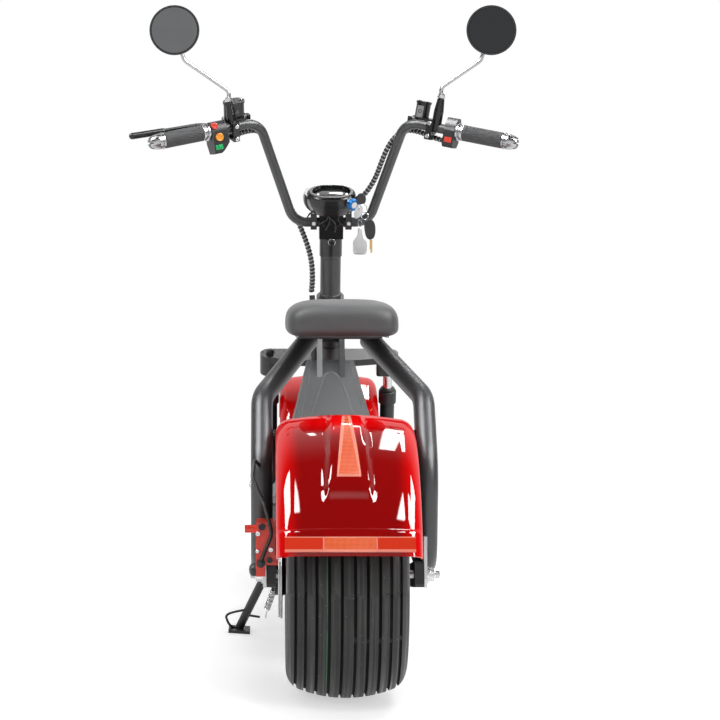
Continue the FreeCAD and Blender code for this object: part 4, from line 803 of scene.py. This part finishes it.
rings = [saddle_ring(*row) for row in saddle_rows]
points = [spot for ring in rings for spot in ring]
count = len(rings[0])
faces = bands(len(rings), count)
for base, y in ((0, 86.2), ((len(rings) - 1) * count, 521)):
    middle = len(points)
    points.append((0, y, sum(points[base + j][2] for j in range(count)) / count))
    faces += [(base + j, base + (j + 1) % count, middle) for j in range(count)]
cushion = solid("saddle_cushion", points, faces, None, saddle_cover, lean @ mm, angle=180)
round_off = cushion.modifiers.new("round_off", "SUBSURF")
round_off.levels = round_off.render_levels = 2
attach(cushion, "frame")
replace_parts(cushion, "saddle")
seam = [(half_width * share * seam_share, y + (4 if k < 4 else 0), pan + up + 0.2)
        for k, (y, share, up, down) in enumerate(saddle_rows)]
seam = seam[1:-1] + [(-x, y, z) for x, y, z in seam[-2:0:-1]]
piping = spline("saddle_welt", [lean @ mm @ Vector(spot) for spot in seam], 4, True)
piping.data.bevel_depth, piping.data.bevel_resolution = 0.0011, 3
piping.data.materials.append(saddle_cover)
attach(piping, "frame")


# The fork.
# A forged yoke painted gloss black holds two chromed tubes that run down into cast legs;
# rubber scrapers close the legs' tops and a nut sits over each tube.
def mirror_bright(spot):
    cloud = spot.noise(14, 2)
    pits = spot.noise(300, 4, 0.7).step(0.68, 0.74)
    return {"Base_Color": cloud.colours((0.52, 0.52, 0.53), (0.64, 0.64, 0.65)),
            "Roughness": 0.1 + cloud * 0.08 + pits * 0.2}


chrome = finish("chrome", mirror_bright, Metallic=1.0)
rake, fork_offset = math.radians(22), 0.03
steer = Matrix.Translation((0, wheelbase - fork_offset / math.cos(rake), wheel_radius)) @ Matrix.Rotation(rake, 4, "X")
rig = lean @ steer
rig_mm = rig @ mm
paint(gloss_black, "fork_crown")
paint(satin_black, "fork_legs")
paint(ground_steel, "front_axle")
paint(chrome, "stanchions")
fitted("crown_nuts", nut, [((side * 140, 30, 343.6), (0, 0, 1), 9) for side in both], rig, satin_black)
fitted("front_axle_nuts", nut, [((side * 178, 1250, axle_up), (side, 0, 0), 11) for side in both])
scraper = [(247, 11.4), (247, 16.5), (249.5, 17.5), (252, 16), (253, 13), (253.4, 11.4)]
for side, word in ((-1, "left"), (1, "right")):
    spots, faces = lathe(scraper, 48)
    spots = [(z + side * 0.14, y + 0.03, x) for x, y, z in spots]
    solid("fork_scraper_" + word, spots, faces, "steering", black_rubber, rig)


# The front fender.
# The same kind of pressed and lacquered shell as the rear one, narrower and plain, hung
# under the yoke on a folded steel bracket with two screws.
def block(name, size, centre, body, material, place, edge=1.0):
    """Cuboid with bevelled edges; its size and centre in mm."""
    shape = bmesh.new()
    stretch = Matrix.Diagonal((*(s / 1000 for s in size), 1))
    bmesh.ops.create_cube(shape, size=1, matrix=Matrix.Translation(Vector(centre) / 1000) @ stretch)
    bmesh.ops.bevel(shape, geom=shape.edges[:], offset=edge / 1000, segments=2, profile=0.7, affect="EDGES")
    spots = [tuple(v.co) for v in shape.verts]
    shape.verts.index_update()
    faces = [tuple(v.index for v in face.verts) for face in shape.faces]
    shape.free()
    return solid(name, spots, faces, body, material, place)


front_shell = fender("front_fender_shell", "steering", front_hub, front_size, 40, 158, 110, lambda x, turn: 0)
stay = block("front_fender_stay", (70, 8, 76.4), (0, 30, 289.4), "steering", satin_black, rig)
for thing in (front_shell, stay):
    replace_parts(thing, "front_fender")
fitted("fender_stay_screws", screw, [((side * 22, 26, 300), back, 5) for side in both], rig)


# The column and the head block.
# A thick aluminium column painted dark grey with a black sleeve at its top; the black head
# block above it is clamped round the bar with small bright screws.
def column_paint(spot):
    x, y, z = set_upright(spot).split()
    fine, cloud = spot.noise(700, 2), spot.noise(11, 3)
    black = z.step(0.7935, 0.7945)
    colour = cloud.colours((0.04, 0.041, 0.043), (0.058, 0.059, 0.061))
    colour = black.colours(colour, (0.012, 0.012, 0.013))
    return {"Base_Color": colour, "Roughness": 0.3 + cloud * 0.16 - black * 0.08, "height": (fine, 0.05, 0.0003)}


def baked(thing):
    """The plain mesh of a curve object, which then goes."""
    mesh = bpy.data.meshes.new_from_object(thing.evaluated_get(bpy.context.evaluated_depsgraph_get()))
    bpy.data.objects.remove(thing)
    return mesh


def tube(name, route, radius, body, material, closed=False, place=lean @ mm, sides=3):
    """Round wire or hose of a radius in mm along a spline drawn toward the route's points."""
    bent = spline(name + "_route", route, 3, closed, 10)
    bent.data.bevel_depth, bent.data.bevel_resolution, bent.data.use_fill_caps = radius, sides, True
    mesh = baked(bent)
    spots, faces = [tuple(v.co) for v in mesh.vertices], [tuple(face.vertices) for face in mesh.polygons]
    return solid(name, spots, faces, body, material, place)


def ring_route(centre, radius, tilt=0.0):
    """Points of a ring across the rider's view, turned about the upright by tilt."""
    turn = Matrix.Rotation(tilt, 3, "Z")
    return [tuple(Vector(centre) + turn @ Vector((radius * math.cos(a), 0, radius * math.sin(a))))
            for a in circle(12)]


paint(finish("column_paint", column_paint, Specular_IOR_Level=0.5), "column")
paint(gloss_black, "head_block", "bar_clamps")
fitted("sleeve_screw", screw, [((1.5, -25.4, 656), back, 6.5)], rig, satin_black)
recess, wire = ring_route((1.5, -25.6, 656), 8), 0.9
tube("sleeve_recess", recess, wire, "steering", plated_steel, True, rig_mm)
fitted("clamp_screws", screw, [((side * 40, 936.6, z), back, 4.6) for side in both for z in (871, 898)])
fitted("block_screws", screw, [((side * 17, -26.2, 700), back, 4) for side in both], rig, satin_black)


# The instrument.
# A bright oval bowl with a thick black bezel towards the rider and a domed dark glass; the
# ignition lock sits in its right side with a blue ring round the key's slot.
def silver_paint(spot):
    fleck, cloud = spot.noise(1500, 2), spot.noise(12, 2)
    return {"Base_Color": cloud.colours((0.16, 0.163, 0.168), (0.23, 0.233, 0.24)),
            "Metallic": 0.8 + fleck * 0.2, "Roughness": 0.14 + cloud * 0.08}


def dial(spot):
    smear, middle = spot.noise(40, 4), tuple(rig_mm @ Vector((0, -6, 764)))
    away = spot.make("VectorMath", {"operation": "DISTANCE"}, 1, _0=spot, _1=middle) * 1000
    face = (away - 20).size().step(2.2, 1.4)
    colour = face.colours((0.006, 0.007, 0.008), (0.03, 0.034, 0.038))
    return {"Base_Color": colour, "Roughness": 0.04 + smear * 0.05}


black_plastic = finish("black_plastic", clouded((0.014, 0.014, 0.015), (0.028, 0.028, 0.029), 30, 3, 0.32, 0.16,
                                                (900, 3), 0.1, 0.0003), Specular_IOR_Level=0.5)
blue_ring = finish("blue_anodised", clouded((0.02, 0.16, 0.5), (0.03, 0.24, 0.66), 200, 3, 0.25, 0.15), Metallic=0.7)
paint(finish("silver_paint", silver_paint, Coat_Weight=0.4), "instrument_pod")
paint(gloss_black, "pod_lip")
dial_glass = finish("dial_glass", dial, Coat_Weight=1.0, Coat_Roughness=0.02)
long_half, oval, dial_low, bulge = 32.3, 11.3, 768.3, 3.2
rows, count = [(k / 10, dial_low + bulge * (1 - (k / 10) ** 2)) for k in range(11)] + [(1, 764.5)], 72
spots = []
for share, z in rows:
    for a in circle(count):
        x = oval * min(share * 2, 1) * max(-1, min(1, 1.6 * math.cos(a))) + long_half * share * math.cos(a)
        spots.append((x / 1000, (long_half * share * math.sin(a) - 6) / 1000, z / 1000))
faces = bands(len(rows), count) + [ends(len(rows), count)[1][::-1]]
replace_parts(solid("dial_dome", spots, faces, "steering", dial_glass, rig), "pod_glass")
paint(plated_steel, "ignition_lock")
lock_way = Vector((13.2, -18.3, 0)).normalized()
lock_turn = lock_way.to_track_quat("X", "Z").to_matrix().to_4x4()
lock_place = rig @ Matrix.Translation((0.0502, -0.0533, 0.761)) @ lock_turn
ring_rows = [(-9, 12.1), (-9, 13.4), (1.2, 13.4), (2, 12.6), (2, 9.2), (0.6, 8.8), (-1, 8.6), (-1, 8)]
face_rows = [(-1, 0), (-1, 8.4), (1.2, 8.2), (1.8, 7.4), (1.8, 0)]
for name, rows, material in (("lock_ring", ring_rows, blue_ring), ("lock_face", face_rows, plated_steel)):
    spots, faces = lathe(rows, 48, rows[0][1] > 1)
    solid(name, spots, faces, "steering", material, lock_place)


# The key and what hangs from it.
# A black-headed steel key in the lock, and below it on split rings a leaf-shaped steel tag,
# a black fob with the spare key's brass blade, and a pale bottle-shaped tag.
tag_steel = finish("tag_steel", clouded((0.5, 0.5, 0.51), (0.68, 0.68, 0.69), 30, 2, 0.3, 0.14,
                                        (800, 2), 0.03, 0.0002), Metallic=0.85)


def plate(name, outline, thick, ahead, material):
    """Flat piece with rounded faces from an outline (x, z) in mm, standing across the rider's view."""
    n = len(outline)
    points, (u, v) = [], (sum(x for x, z in outline) / n, sum(z for x, z in outline) / n)
    for shrink, y in ((0.9, -1), (1, -0.55), (1, 0.55), (0.9, 1)):
        points += [(u + (x - u) * shrink, key_y + ahead + y * thick / 2, v + (z - v) * shrink) for x, z in outline]
    solid(name, points, bands(4, n) + ends(4, n), "steering", material, lean @ mm)


def rounded(points):
    """The same outline with its corners cut twice, so that they come out round."""
    for step in range(2):
        out = []
        for k, (x, z) in enumerate(points):
            u, v = points[(k + 1) % len(points)]
            out += [(x * 0.75 + u * 0.25, z * 0.75 + v * 0.25), (x * 0.25 + u * 0.75, z * 0.25 + v * 0.75)]
        points = out
    return points


def split_ring(name, x, ahead, z, radius, tilt, thin=wire):
    """Ring of round wire that two things hang on."""
    tube(name, ring_route((x, key_y + ahead, z), radius, tilt), thin, "steering", chrome, True)


key_y = 868
head = rounded([(58, 916), (74, 916), (78, 930), (72, 942), (60, 942), (54, 930)])
leaf = rounded([(64, 920), (70, 908), (66, 890), (52, 882), (48, 894), (54, 910)])
fob = rounded([(74, 884), (92, 884), (99, 866), (97, 842), (86, 835), (76, 842), (72, 866)])
blade = [(85, 836), (91, 836), (91, 809), (88, 805), (86.5, 809), (86.5, 814), (85, 816)]
bottle = rounded([(-4, 866), (4, 866), (4.6, 848), (9, 840), (15.5, 834), (15.5, 808), (13, 803), (-13, 803),
                  (-15.5, 808), (-15.5, 834), (-9, 840), (-4.6, 848)])
plate("key_blade", [(60, 922), (72, 922), (72, 938), (60, 938)], 2.2, 6, plated_steel)
plate("key_head", head, 5, 0, black_plastic)
split_ring("key_ring", 70, -2, 906, 10.5, 0.5)
split_ring("split_ring", 74, -3, 891, 8.5, -0.4)
plate("leaf_tag", leaf, 2, -6, tag_steel)
plate("key_fob", fob, 9, -3, black_plastic)
plate("spare_blade", blade, 2, -3, brass)
plate("bottle_tag", [(62.5 + x, z) for x, z in bottle], 7, -9, tag_steel)
split_ring("bottle_ring", 63, -6, 874, 7.5, 0.9, 0.8)
# four thin wires loop under the instrument, from the left clamp and from the right one
wires = ([(-57, 934, 872), (-58, 922, 886), (-42, 914, 900), (-20, 913, 904), (-6, 916, 893), (-12, 922, 877),
          (-30, 926, 869)],
         [(-52, 930, 892), (-40, 918, 905), (-18, 916, 898), (-2, 918, 886), (-6, 923, 868), (-14, 927, 856)],
         [(-30, 932, 903), (-12, 919, 893), (2, 917, 880), (12, 921, 866), (8, 927, 852)],
         [(38, 934, 905), (24, 920, 897), (14, 917, 884), (20, 921, 870), (32, 928, 864)])
for k, route in enumerate(wires):
    tube("pod_wire_%d" % (k + 1), route, 1.6, "steering", black_rubber)


# The handlebar and its grips.
# One bent steel tube in satin grey. Foam-rubber grips with a fine woven texture run
# between bright turned collars and notched end caps.
def foam(spot):
    x, y, z = spot.split()
    weave = ((x - z) * 3300).wave() * ((x + z * 1.3) * 3300).wave()
    cloud = spot.noise(50, 3)
    return {"Base_Color": cloud.colours((0.058, 0.059, 0.061), (0.085, 0.086, 0.088)),
            "Roughness": 0.62 + cloud * 0.2, "height": (weave * 0.5 + cloud, 0.3, 0.0005)}


def turned(spot):
    cloud, grain = spot.noise(20, 2), spot.noise(600, 2)
    return {"Base_Color": cloud.colours((0.4, 0.4, 0.41), (0.54, 0.54, 0.55)),
            "Roughness": 0.2 + grain * 0.12}


bar_grey = clouded((0.05, 0.051, 0.053), (0.075, 0.076, 0.078), 9, 3, 0.32, 0.12, (1300, 2), 0.05, 0.0002)
paint(finish("bar_grey_paint", bar_grey, Metallic=0.15, Coat_Weight=0.2), "handlebar")
paint(finish("grip_foam", foam), "grips")
turned_alloy = finish("turned_alloy", turned, Metallic=1.0)
paint(turned_alloy, "grip_caps")


# The switches and the throttle housing.
# Black moulded housings clamped round the bar. The left one carries a red and an amber push
# button and a green slider, the right one a red rocker under a half with a metallic sheen.
def button(name, low, high):
    """Moulded and slightly glossy plastic between two colours."""
    return finish(name, clouded(low, high, 220, 3, 0.28, 0.2, (900, 2), 0.06, 0.0002), Coat_Weight=0.3)


red_button = button("red_button", (0.75, 0.04, 0.02), (0.9, 0.09, 0.05))
amber_button = button("amber_button", (0.9, 0.28, 0.02), (1.0, 0.42, 0.05))
green_button = button("green_button", (0.0, 0.32, 0.08), (0.02, 0.5, 0.16))
bar_right = lean @ Matrix(((0.8970, 0.4083, 0.16934, 0.166), (-0.4012, 0.9129, -0.07574, 0.86597),
                           (-0.1855, 0.0, 0.98267, 1.10396), (0, 0, 0, 1)))
upright, flip = lean.inverted(), Matrix.Scale(-1, 4, (1, 0, 0))
bar_left = lean @ flip @ upright @ bar_right


def two_halves(spot):
    s, y, z = set_upright(spot, bar_right).split()
    grain, cloud = spot.noise(900, 3), spot.noise(30, 3)
    upper = z.step(0.0015, 0.003)
    colour = upper.colours((0.02, 0.02, 0.021), (0.13, 0.13, 0.134))
    return {"Base_Color": colour, "Metallic": upper, "Roughness": 0.34 + cloud * 0.14 + upper * 0.04,
            "height": (grain, 0.08, 0.0003)}


paint(black_plastic, "switch_pod")
paint(finish("housing_halves", two_halves), "throttle_housing")
for name, s, z, radius, low, high, material in (("flasher_button", 118.3, 11.5, 7.2, 13, 26, red_button),
                                                ("lamp_button", 111.5, -15, 9.2, 13, 28, amber_button)):
    rows = [(low, 0), (low, radius), (high - 2.2, radius), (high - 0.8, radius - 0.5), (high, radius - 1.8),
            (high - 0.7, radius * 0.4), (high - 0.8, 0)]
    spots, faces = lathe(rows, 40, False)
    spots = [(v + s / 1000, -u, w + z / 1000) for u, v, w in spots]
    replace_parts(solid(name, spots, faces, "steering", material, bar_left), "buttons")
for name, size, centre, place, material in (("slider", (17, 11.6, 11), (116.2, -21.5, -37), bar_left, green_button),
                                            ("rocker", (17, 11.6, 12), (115.5, -19, -20), bar_right, red_button)):
    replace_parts(block(name, size, centre, "steering", material, place, 1.6), "buttons")
block("slider_nib", (4, 3, 8), (116.2, -28, -37), "steering", green_button, bar_left, 1.0)
block("rocker_nib", (12, 2, 2.4), (115.5, -25.2, -20), "steering", red_button, bar_right, 0.8)
fitted("housing_screws_left", screw, [((109, -10, -49), (0, 0, -1), 3)], bar_left)
fitted("housing_screws_right", screw, [((109, -12, -34), (0, 0, -1), 3)], bar_right)


# The brakes' master cylinders and levers.
# Black cast bodies clamped to the bar, each with an oval reservoir ahead of it under a lid
# with two screws, its clamp's two screws facing the rider, and a forged lever.
paint(gloss_black, "master_cylinders", "brake_levers")
tip = Matrix.Rotation(math.radians(20), 4, "X")
up = (0, 0, 1)
glass = [(0, 0), (0, 5.5), (1.2, 5.5), (1.6, 4.2), (1.2, 0)]
for word, place, start, length in (("left", bar_left @ tip, 27, 48), ("right", bar_right, 12, 32)):
    fitted("clamp_screws_" + word, screw, [((65.5, -20.2, z), back, 4.8) for z in (8.5, -21)], place)
    fitted("lid_screws_" + word, screw, [((start + 6, 23, 52.4), up, 3.2), ((start + length - 6, 23, 52.4), up, 3.2),
                                         ((start + 47, 25, 13.5), up, 4)], place)
    spots, faces = lathe(glass, 32, False)
    spots = [(y + (start + length / 2) / 1000, 0.007 - x, z + 0.03) for x, y, z in spots]
    solid("sight_glass_" + word, spots, faces, "steering", grey_panel, place)
milky = finish("milky_window", clouded((0.2, 0.2, 0.195), (0.42, 0.42, 0.41), 40, 3, 0.2, 0.2))
block("level_window", (15, 1.8, 27), (28, 6.5, 29), "steering", milky, bar_right, 0.7)


# The mirrors.
# Round glasses in black moulded heads on bent rods of bright metal, screwed into the brake
# clamps through a ribbed rubber boot and a lock nut.
def silvered(spot):
    haze = spot.noise(9, 3)
    # painted reflection: the right mirror's glass is coloured much darker than the left one's; the haze varies at
    # random
    right = spot.split()[0].step(-0.05, 0.05)
    return {"Base_Color": (haze * 0.4 + right).clamp().colours((0.16, 0.163, 0.167), (0.035, 0.036, 0.038)),
            "Roughness": 0.03 + haze * 0.06}


paint(turned_alloy, "mirror_stems")
paint(black_plastic, "mirror_heads")
paint(finish("mirror_glass", silvered, Metallic=1.0), "mirror_glasses")
for word, place, foot, top in (("left", bar_left, 66, 56), ("right", bar_right, 76, 66)):
    ribs = [(top - 8, 4.7)]
    for k in range(4):
        low, wide, narrow = top + k * 3, 8.4 - k * 0.6, 7 - k * 0.5
        ribs += [(low - 8, wide), (low - 6.6, wide), (low - 6.2, narrow), (low - 5.2, narrow)]
    ribs += [(top + 4, 4.7)]
    spots, faces = lathe(ribs, 40)
    spots = [(z + foot / 1000, y - 0.003, x) for x, y, z in spots]
    solid("mirror_boot_" + word, spots, faces, "steering", black_rubber, place)
    fitted("mirror_nut_" + word, nut, [((foot, -3, top + 4.5), up, 7.5)], place)


# The looms.
# Bundles of wires under a black spiral wrap: they leave the two housings, run in below the
# bar, down ahead of its risers and beside the column, and go into the neck.
def wrapped(name, body, radius, spots):
    """Spiral wrap round a route: short slanting turns of a flat plastic strip, set close together by a node tree."""
    base = baked(spline(name + "_route", [lean @ mm @ Vector(spot) for spot in spots]))

    def build(path, size, pitch):
        line = path.make("GeometryNodeMeshToCurve", Mesh=path)
        line = line.make("GeometryNodeResampleCurve", {"mode": "LENGTH"}, Curve=line, Length=pitch)
        strip = line.make("GeometryNodeMeshCylinder", Vertices=18, Radius=size, Depth=pitch * 0.7)
        shape = strip.make("GeometryNodeCurveToPoints", {"mode": "EVALUATED"}, Curve=line)
        turn = Socket(shape.tree, shape.link.node.outputs["Rotation"])
        slant = turn.make("FunctionNodeRotateRotation", {"rotation_space": "LOCAL"}, Rotation=turn,
                          Rotate_By=(0.24, 0.16, 0))
        return shape.make("GeometryNodeInstanceOnPoints", Points=shape, Instance=strip, Rotation=slant)

    inputs = (("Radius", "Float", radius / 1000), ("Pitch", "Float", 0.0086))
    thing = grown(name, base, inputs, build, body, loom_black, 40)
    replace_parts(thing, "bar_looms")
    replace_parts(tube(name + "_wires", spots, radius * 0.86, body, wire_grey), "bar_looms")


loom_black = finish("loom_black", clouded((0.01, 0.01, 0.011), (0.024, 0.024, 0.025), 90, 3, 0.22, 0.16),
                    Specular_IOR_Level=0.6)
wire_grey = finish("wire_grey", clouded((0.3, 0.3, 0.31), (0.6, 0.6, 0.61), 140, 3, 0.3, 0.2))


def under_bar(side, *spots):
    """Points given from the bar's outer end on one side."""
    place = upright @ (bar_right if side > 0 else bar_left)
    return [tuple(place @ (Vector((s, y * side, z)) / 1000) * 1000) for s, y, z in spots]


def steered(*spots):
    """Points given along the steering's own axis."""
    return [tuple(steer @ (Vector(spot) / 1000) * 1000) for spot in spots]


def from_bend(side, *spots):
    """Points given from the bar's upper bend on one side."""
    return [(side * (166 + x), 866 + y, 1104 + z) for x, y, z in spots]


wrapped("loom_left", "steering", 6.4, under_bar(-1, (87.5, -13, -22), (74, -13.2, -22), (20, -20, -15)) + from_bend(
    -1, (-7, 31, -20), (-28.6, 55, -82.2), (-65, 98, -184)) + steered(
    (-76, 25.5, 690.4), (-46, -6.4, 618.4), (-41, -18.9, 560.9), (-44, -17.9, 531.4)))
wrapped("loom_right", "steering", 5.9, under_bar(1, (101.5, 8, -26), (85, 8, -26), (20, 19, -15)) + from_bend(
    1, (-7, 30.5, -20), (-31, 33.5, -44), (-46.5, 30.5, -74)) + steered((95, -0.7, 787.5), (72.5, -6.4, 764.5)))


# The headlamp.
# A round black bowl ahead of the head tube on a bent arm, with a domed clear lens; it is
# guessed, as the photograph doesn't show it.
def fluted(spot):
    x, y, z = set_upright(spot).split()
    flutes = (x * 900).wave()
    return {"Base_Color": flutes.clamp().colours((0.62, 0.66, 0.68), (0.85, 0.88, 0.9)),
            "Roughness": 0.06 + flutes.clamp() * 0.06, "height": (flutes, 0.4, 0.001)}


paint(satin_black, "headlamp")
paint(finish("clear_lens", fluted, Coat_Weight=1.0, Coat_Roughness=0.02, Metallic=0.35), "headlamp_lens")


# The side stand.
# A forged black steel leg with a flat foot, a bent wire loop for the rider's toe, a peg and
# a strong plated return spring up to the frame.
paint(satin_black, "side_stand")
loop = [(-184, 512, 66), (-208, 512, 63), (-236, 516, 54), (-232, 526, 38), (-228, 536, 29), (-220, 544, 20),
        (-205, 544, 19)]
tube("toe_loop", loop, 2.6, "stand", satin_black)
tube("stand_peg", [(-190, 521, 52), (-176, 519, 50), (-163, 517, 48.5)], 2.4, "stand", satin_black)
coils, turns, coil_radius = [], 20, 6.2
top, low = Vector((-127, 492, 128)), Vector((-150, 508, 62))
way = (low - top).normalized()
side = way.cross(Vector((0, 1, 0))).normalized()
across = way.cross(side)
for k in range(turns * 8 + 1):
    a, along = 2 * math.pi * k / 8, k / (turns * 8)
    ring = side * (coil_radius * math.cos(a)) + across * (coil_radius * math.sin(a))
    coils.append(tuple(top.lerp(low, 0.08 + 0.84 * along) + ring))
coils = [(-133, 480, 142), tuple(top)] + coils + [tuple(low), (-150, 515, 47)]
spring = tube("stand_spring", coils, 1.3, None, plated_steel, sides=2)
tuple(lean @ (top / 1000))
tuple(lean @ (low / 1000))
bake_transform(spring)


# The tools' own shapes go; only the pieces made with them stay.
for tool in (screw, nut):
    bpy.data.objects.remove(tool)
